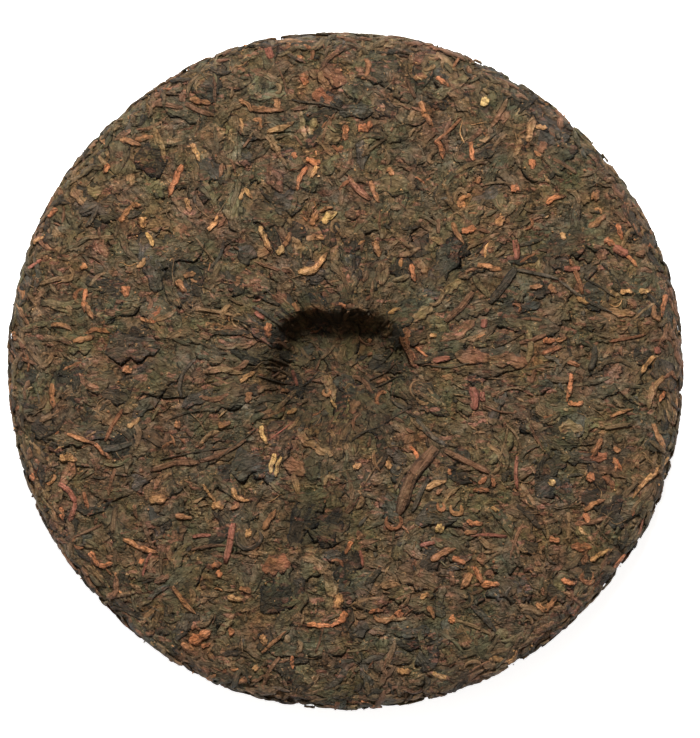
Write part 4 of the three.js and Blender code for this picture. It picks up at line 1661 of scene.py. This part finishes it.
SHOWN_LEAVES = {
    Tint.RUSSET: (
        Mark(404, 327, 415, 368, 3.0, 0.2), Mark(312, 91, 333, 101, 3.6), Mark(262, 568, 291, 563, 4.2),
        Mark(588, 458, 608, 456, 2.3), Mark(303, 70, 305, 83, 2.0), Mark(570, 546, 592, 547, 2.0),
        Mark(150, 324, 161, 305, 1.8), Mark(84, 333, 110, 333, 1.1, -1.0),
    ),
    Tint.CHESTNUT: (
        Mark(440, 343, 476, 321, 2.8), Mark(268, 166, 282, 192, 3.6), Mark(322, 64, 346, 82, 4.0),
        Mark(284, 461, 306, 475, 3.4), Mark(457, 624, 466, 645, 3.8), Mark(455, 354, 492, 360, 4.0),
        Mark(488, 360, 528, 363, 3.6), Mark(249, 284, 264, 281, 2.4), Mark(607, 384, 619, 362, 4.0),
    ),
    Tint.HAZEL: (
        Mark(326, 569, 335, 598, 3.0), Mark(302, 556, 326, 574, 2.2, -0.6), Mark(298, 436, 318, 448, 2.2),
        Mark(312, 446, 334, 456, 2.0), Mark(322, 368, 334, 400, 2.6, -0.3),
        Mark(216, 345, 257, 341, 1.6, 0.9), Mark(37, 422, 68, 405, 1.6), Mark(72, 187, 86, 203, 2.8),
        Mark(445, 294, 461, 279, 2.2), Mark(380, 584, 399, 584, 2.0), Mark(94, 315, 122, 318, 1.5, -0.4),
        Mark(607, 310, 636, 314, 1.9), Mark(412, 321, 433, 306, 2.8), Mark(257, 255, 269, 252, 2.6),
        Mark(108, 273, 118, 272, 2.0),
    ),
    Tint.SLATE: (
        Mark(400, 633, 430, 629, 2.7), Mark(438, 599, 441, 617, 2.6), Mark(660, 358, 672, 392, 5.0),
        Mark(563, 478, 568, 494, 2.4),
    ),
}
SHOWN_CURLS = {
    Tint.RUSSET: (
        Mark(389, 514, 397, 514, 1.0, 5.0), Mark(584, 571, 592, 571, 1.2, 4.8),
        Mark(473, 491, 489, 491, 1.2, -0.6), Mark(478, 484, 486, 477, 1.1, 0.4),
        Mark(493, 487, 491, 478, 1.1, 0.8), Mark(437, 502, 443, 502, 0.9, 4.6),
    ),
    Tint.AMBER: (Mark(452, 504, 459, 504, 1.2, 4.8), Mark(324, 386, 329, 386, 0.8, 4.8)),
    Tint.UMBER: (
        Mark(600, 372, 631, 368, 1.4, -2.4), Mark(190, 98, 222, 66, 1.1, -2.0),
        Mark(196, 92, 214, 74, 0.9, -2.2),
    ),
    Tint.SLATE: (Mark(243, 528, 257, 528, 1.0, 4.8),),
}
SHOWN = {
    "dark_leaves": SHOWN_FLATS,
    "golden_buds": SHOWN_BUDS,
    "stalks": SHOWN_STALKS,
    "brown_leaves": SHOWN_LEAVES,
    "curls": SHOWN_CURLS,
}

FINISHES = {
    "dark_leaves": LeafFinish("dark_leaf", patch_share=0.1),
    "brown_leaves": LeafFinish("brown_leaf"),
    "rolled_leaves": LeafFinish("rolled_leaf", chop=0.6),
    "shreds": LeafFinish("shred", chop=0.3),
    "curls": LeafFinish("curled_leaf", "red_stalk", 0.2, patch=Tint.AMBER),
    "golden_buds": LeafFinish(
        "golden_bud", "golden_bud", 0.25, streak=(0.5, 1.42), edge_shade=0.5, patch=Tint.CHESTNUT,
        patch_share=0.5, fade=0.85,
    ),
    "stalks": LeafFinish("stalk", "red_stalk", 0.2, stretch=0.12, patch=Tint.BARK, patch_share=0.5),
    "fibres": LeafFinish("fibre", "golden_bud", 0.0, edge_shade=0.2),
    "rim_strips": LeafFinish("rim_strip", chop=0.4),
    "crumbs": LeafFinish("crumb", chop=0.0, edge_shade=0.0),
}


@dataclass(frozen=True)
class Studio:
    """Pale floor, soft light from behind the hollow's steep side, and the camera over the cake."""

    picture: Picture = Picture()
    sensor: float = 36.0
    floor_size: float = 4000.0
    key_turn: float = 94.0
    key_elevation: float = 56.0
    key_distance: float = 1400.0
    key_size: float = 420.0
    key_power: float = 37.3
    fill_turn: float = 160.0
    fill_elevation: float = 66.0
    fill_distance: float = 1800.0
    fill_size: float = 1600.0
    fill_power: float = 5.0
    sky: Rgba = (1.0, 0.93, 0.82, 1.0)
    world_strength: float = 0.14
    floor_paint: Rgba = (0.9, 0.9, 0.89, 1.0)
    floor_light: Rgba = (1.0, 1.0, 1.0, 1.0)
    floor_roughness: float = 0.9
    floor_glow: float = 0.86
    clip_end: float = 100.0

    def floor(self) -> None:
        """A plain pale floor, softly lit from below as a photographer's light table is."""
        work = bmesh.new()
        bmesh.ops.create_grid(work, x_segments=1, y_segments=1, size=self.floor_size / 2 * METRE)
        mesh = bpy.data.meshes.new("floor")
        work.to_mesh(mesh)
        work.free()
        floor = linked("floor", mesh)
        material = bpy.data.materials.new("floor_paint")
        material.use_nodes = True
        paint = {"Base Color": self.floor_paint, "Roughness": self.floor_roughness}
        paint |= {"Emission Color": self.floor_light, "Emission Strength": self.floor_glow}
        Nodes(material.node_tree).feed(material.node_tree.nodes["Principled BSDF"], paint)
        mesh.materials.append(material)

    def lamp(self, name: str, power: float, size: float, turn: float, elevation: float, far: float) -> None:
        """Adds a square soft lamp that looks at the cake from a compass angle and an elevation in degrees."""
        light = bpy.data.lights.new(name, "AREA")
        light.energy = power
        light.size = size * METRE
        lamp = linked(name, light)
        across, up = math.cos(math.radians(elevation)), math.sin(math.radians(elevation))
        turn = math.radians(turn)
        direction = Vector((across * math.cos(turn), across * math.sin(turn), up))
        lamp.location = direction * far * METRE
        lamp.rotation_euler = direction.to_track_quat("Z", "Y").to_euler()

    def camera(self) -> None:
        """Places the camera so that the cake fills the picture as in the photograph."""
        picture = self.picture
        aim = Vector((*picture.plane(picture.width / 2, picture.height / 2), picture.sharp_height)) * METRE
        tilt = math.radians(picture.elevation)
        direction = Vector((0.0, -math.cos(tilt), math.sin(tilt)))
        data = bpy.data.cameras.new("camera")
        data.sensor_fit = "VERTICAL"
        data.sensor_height = self.sensor
        data.lens = self.sensor * picture.distance / (picture.height * picture.pixel)
        data.clip_end = self.clip_end
        camera = linked("camera", data)
        camera.location = aim + direction * picture.distance * METRE
        camera.rotation_euler = direction.to_track_quat("Z", "Y").to_euler()
        bpy.context.scene.camera = camera

    def build(self) -> None:
        """Sets up the floor, the lamps, the sky, the camera and the plain colour transform."""
        self.floor()
        for name in ("key", "fill"):
            values = ("power", "size", "turn", "elevation", "distance")
            self.lamp(name, *(getattr(self, f"{name}_{value}") for value in values))
        self.camera()
        world = bpy.data.worlds.new("sky")
        world.use_nodes = True
        background = world.node_tree.nodes["Background"]
        background.inputs["Color"].default_value = self.sky
        background.inputs["Strength"].default_value = self.world_strength
        bpy.context.scene.world = world
        bpy.context.scene.view_settings.view_transform = "Standard"


LAYER_SEED = 900
RING_SEEDS = 100
MARK_SEED = 50
CRUMB_SEED = 61


def settle(piece: Object, finish: Finish, wear_and_shade: WearAndShade, form: CakeForm) -> None:
    """Dresses a piece, lets it ride on the cake and stand for the solid, and reports it."""
    add_hollow_shade_and_patches(piece, form)
    piece.data.materials.append(finish.material(wear_and_shade))
    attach(piece, BODY)
    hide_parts(NODE)
    LOG.info("%s: %d faces", piece.name, len(piece.data.polygons))


def main() -> None:
    """Builds the cake, kind by kind, then the studio."""
    logging.basicConfig(level=logging.INFO, format="%(name)s %(message)s")
    form = CakeForm()
    marks = tuple(mark for kind in SHOWN.values() for group in kind.values() for mark in group)
    scatter = Scatter(form, Lie(form), marks)
    landmarks = Landmarks(form)
    wear_and_shade = WearAndShade(LeafGrain().group(), PressMottle().group(), ChoppedLeaf().group())
    settle(PressedCore(form).build(), CoreFinish(), wear_and_shade, form)
    kinds = (DARK_LEAVES, BROWN_LEAVES, ROLLED_LEAVES, SHREDS, CURLS, BUDS, STALKS, FIBRES, RIM_STRIPS)
    for seed, kind in enumerate(kinds):
        layer = LeafLayer(kind, form, LAYER_SEED + seed)
        batches = scatter.batches(kind, RING_SEEDS * (seed + 1))
        if kind.name in SHOWN:
            batches.append(landmarks.batch(SHOWN[kind.name], MARK_SEED + seed))
        settle(layer.build(batches), FINISHES[kind.name], wear_and_shade, form)
    settle(Crumbs(form).build(scatter, CRUMB_SEED), FINISHES["crumbs"], wear_and_shade, form)
    Studio().build()


if __name__ == "__main__":
    main()
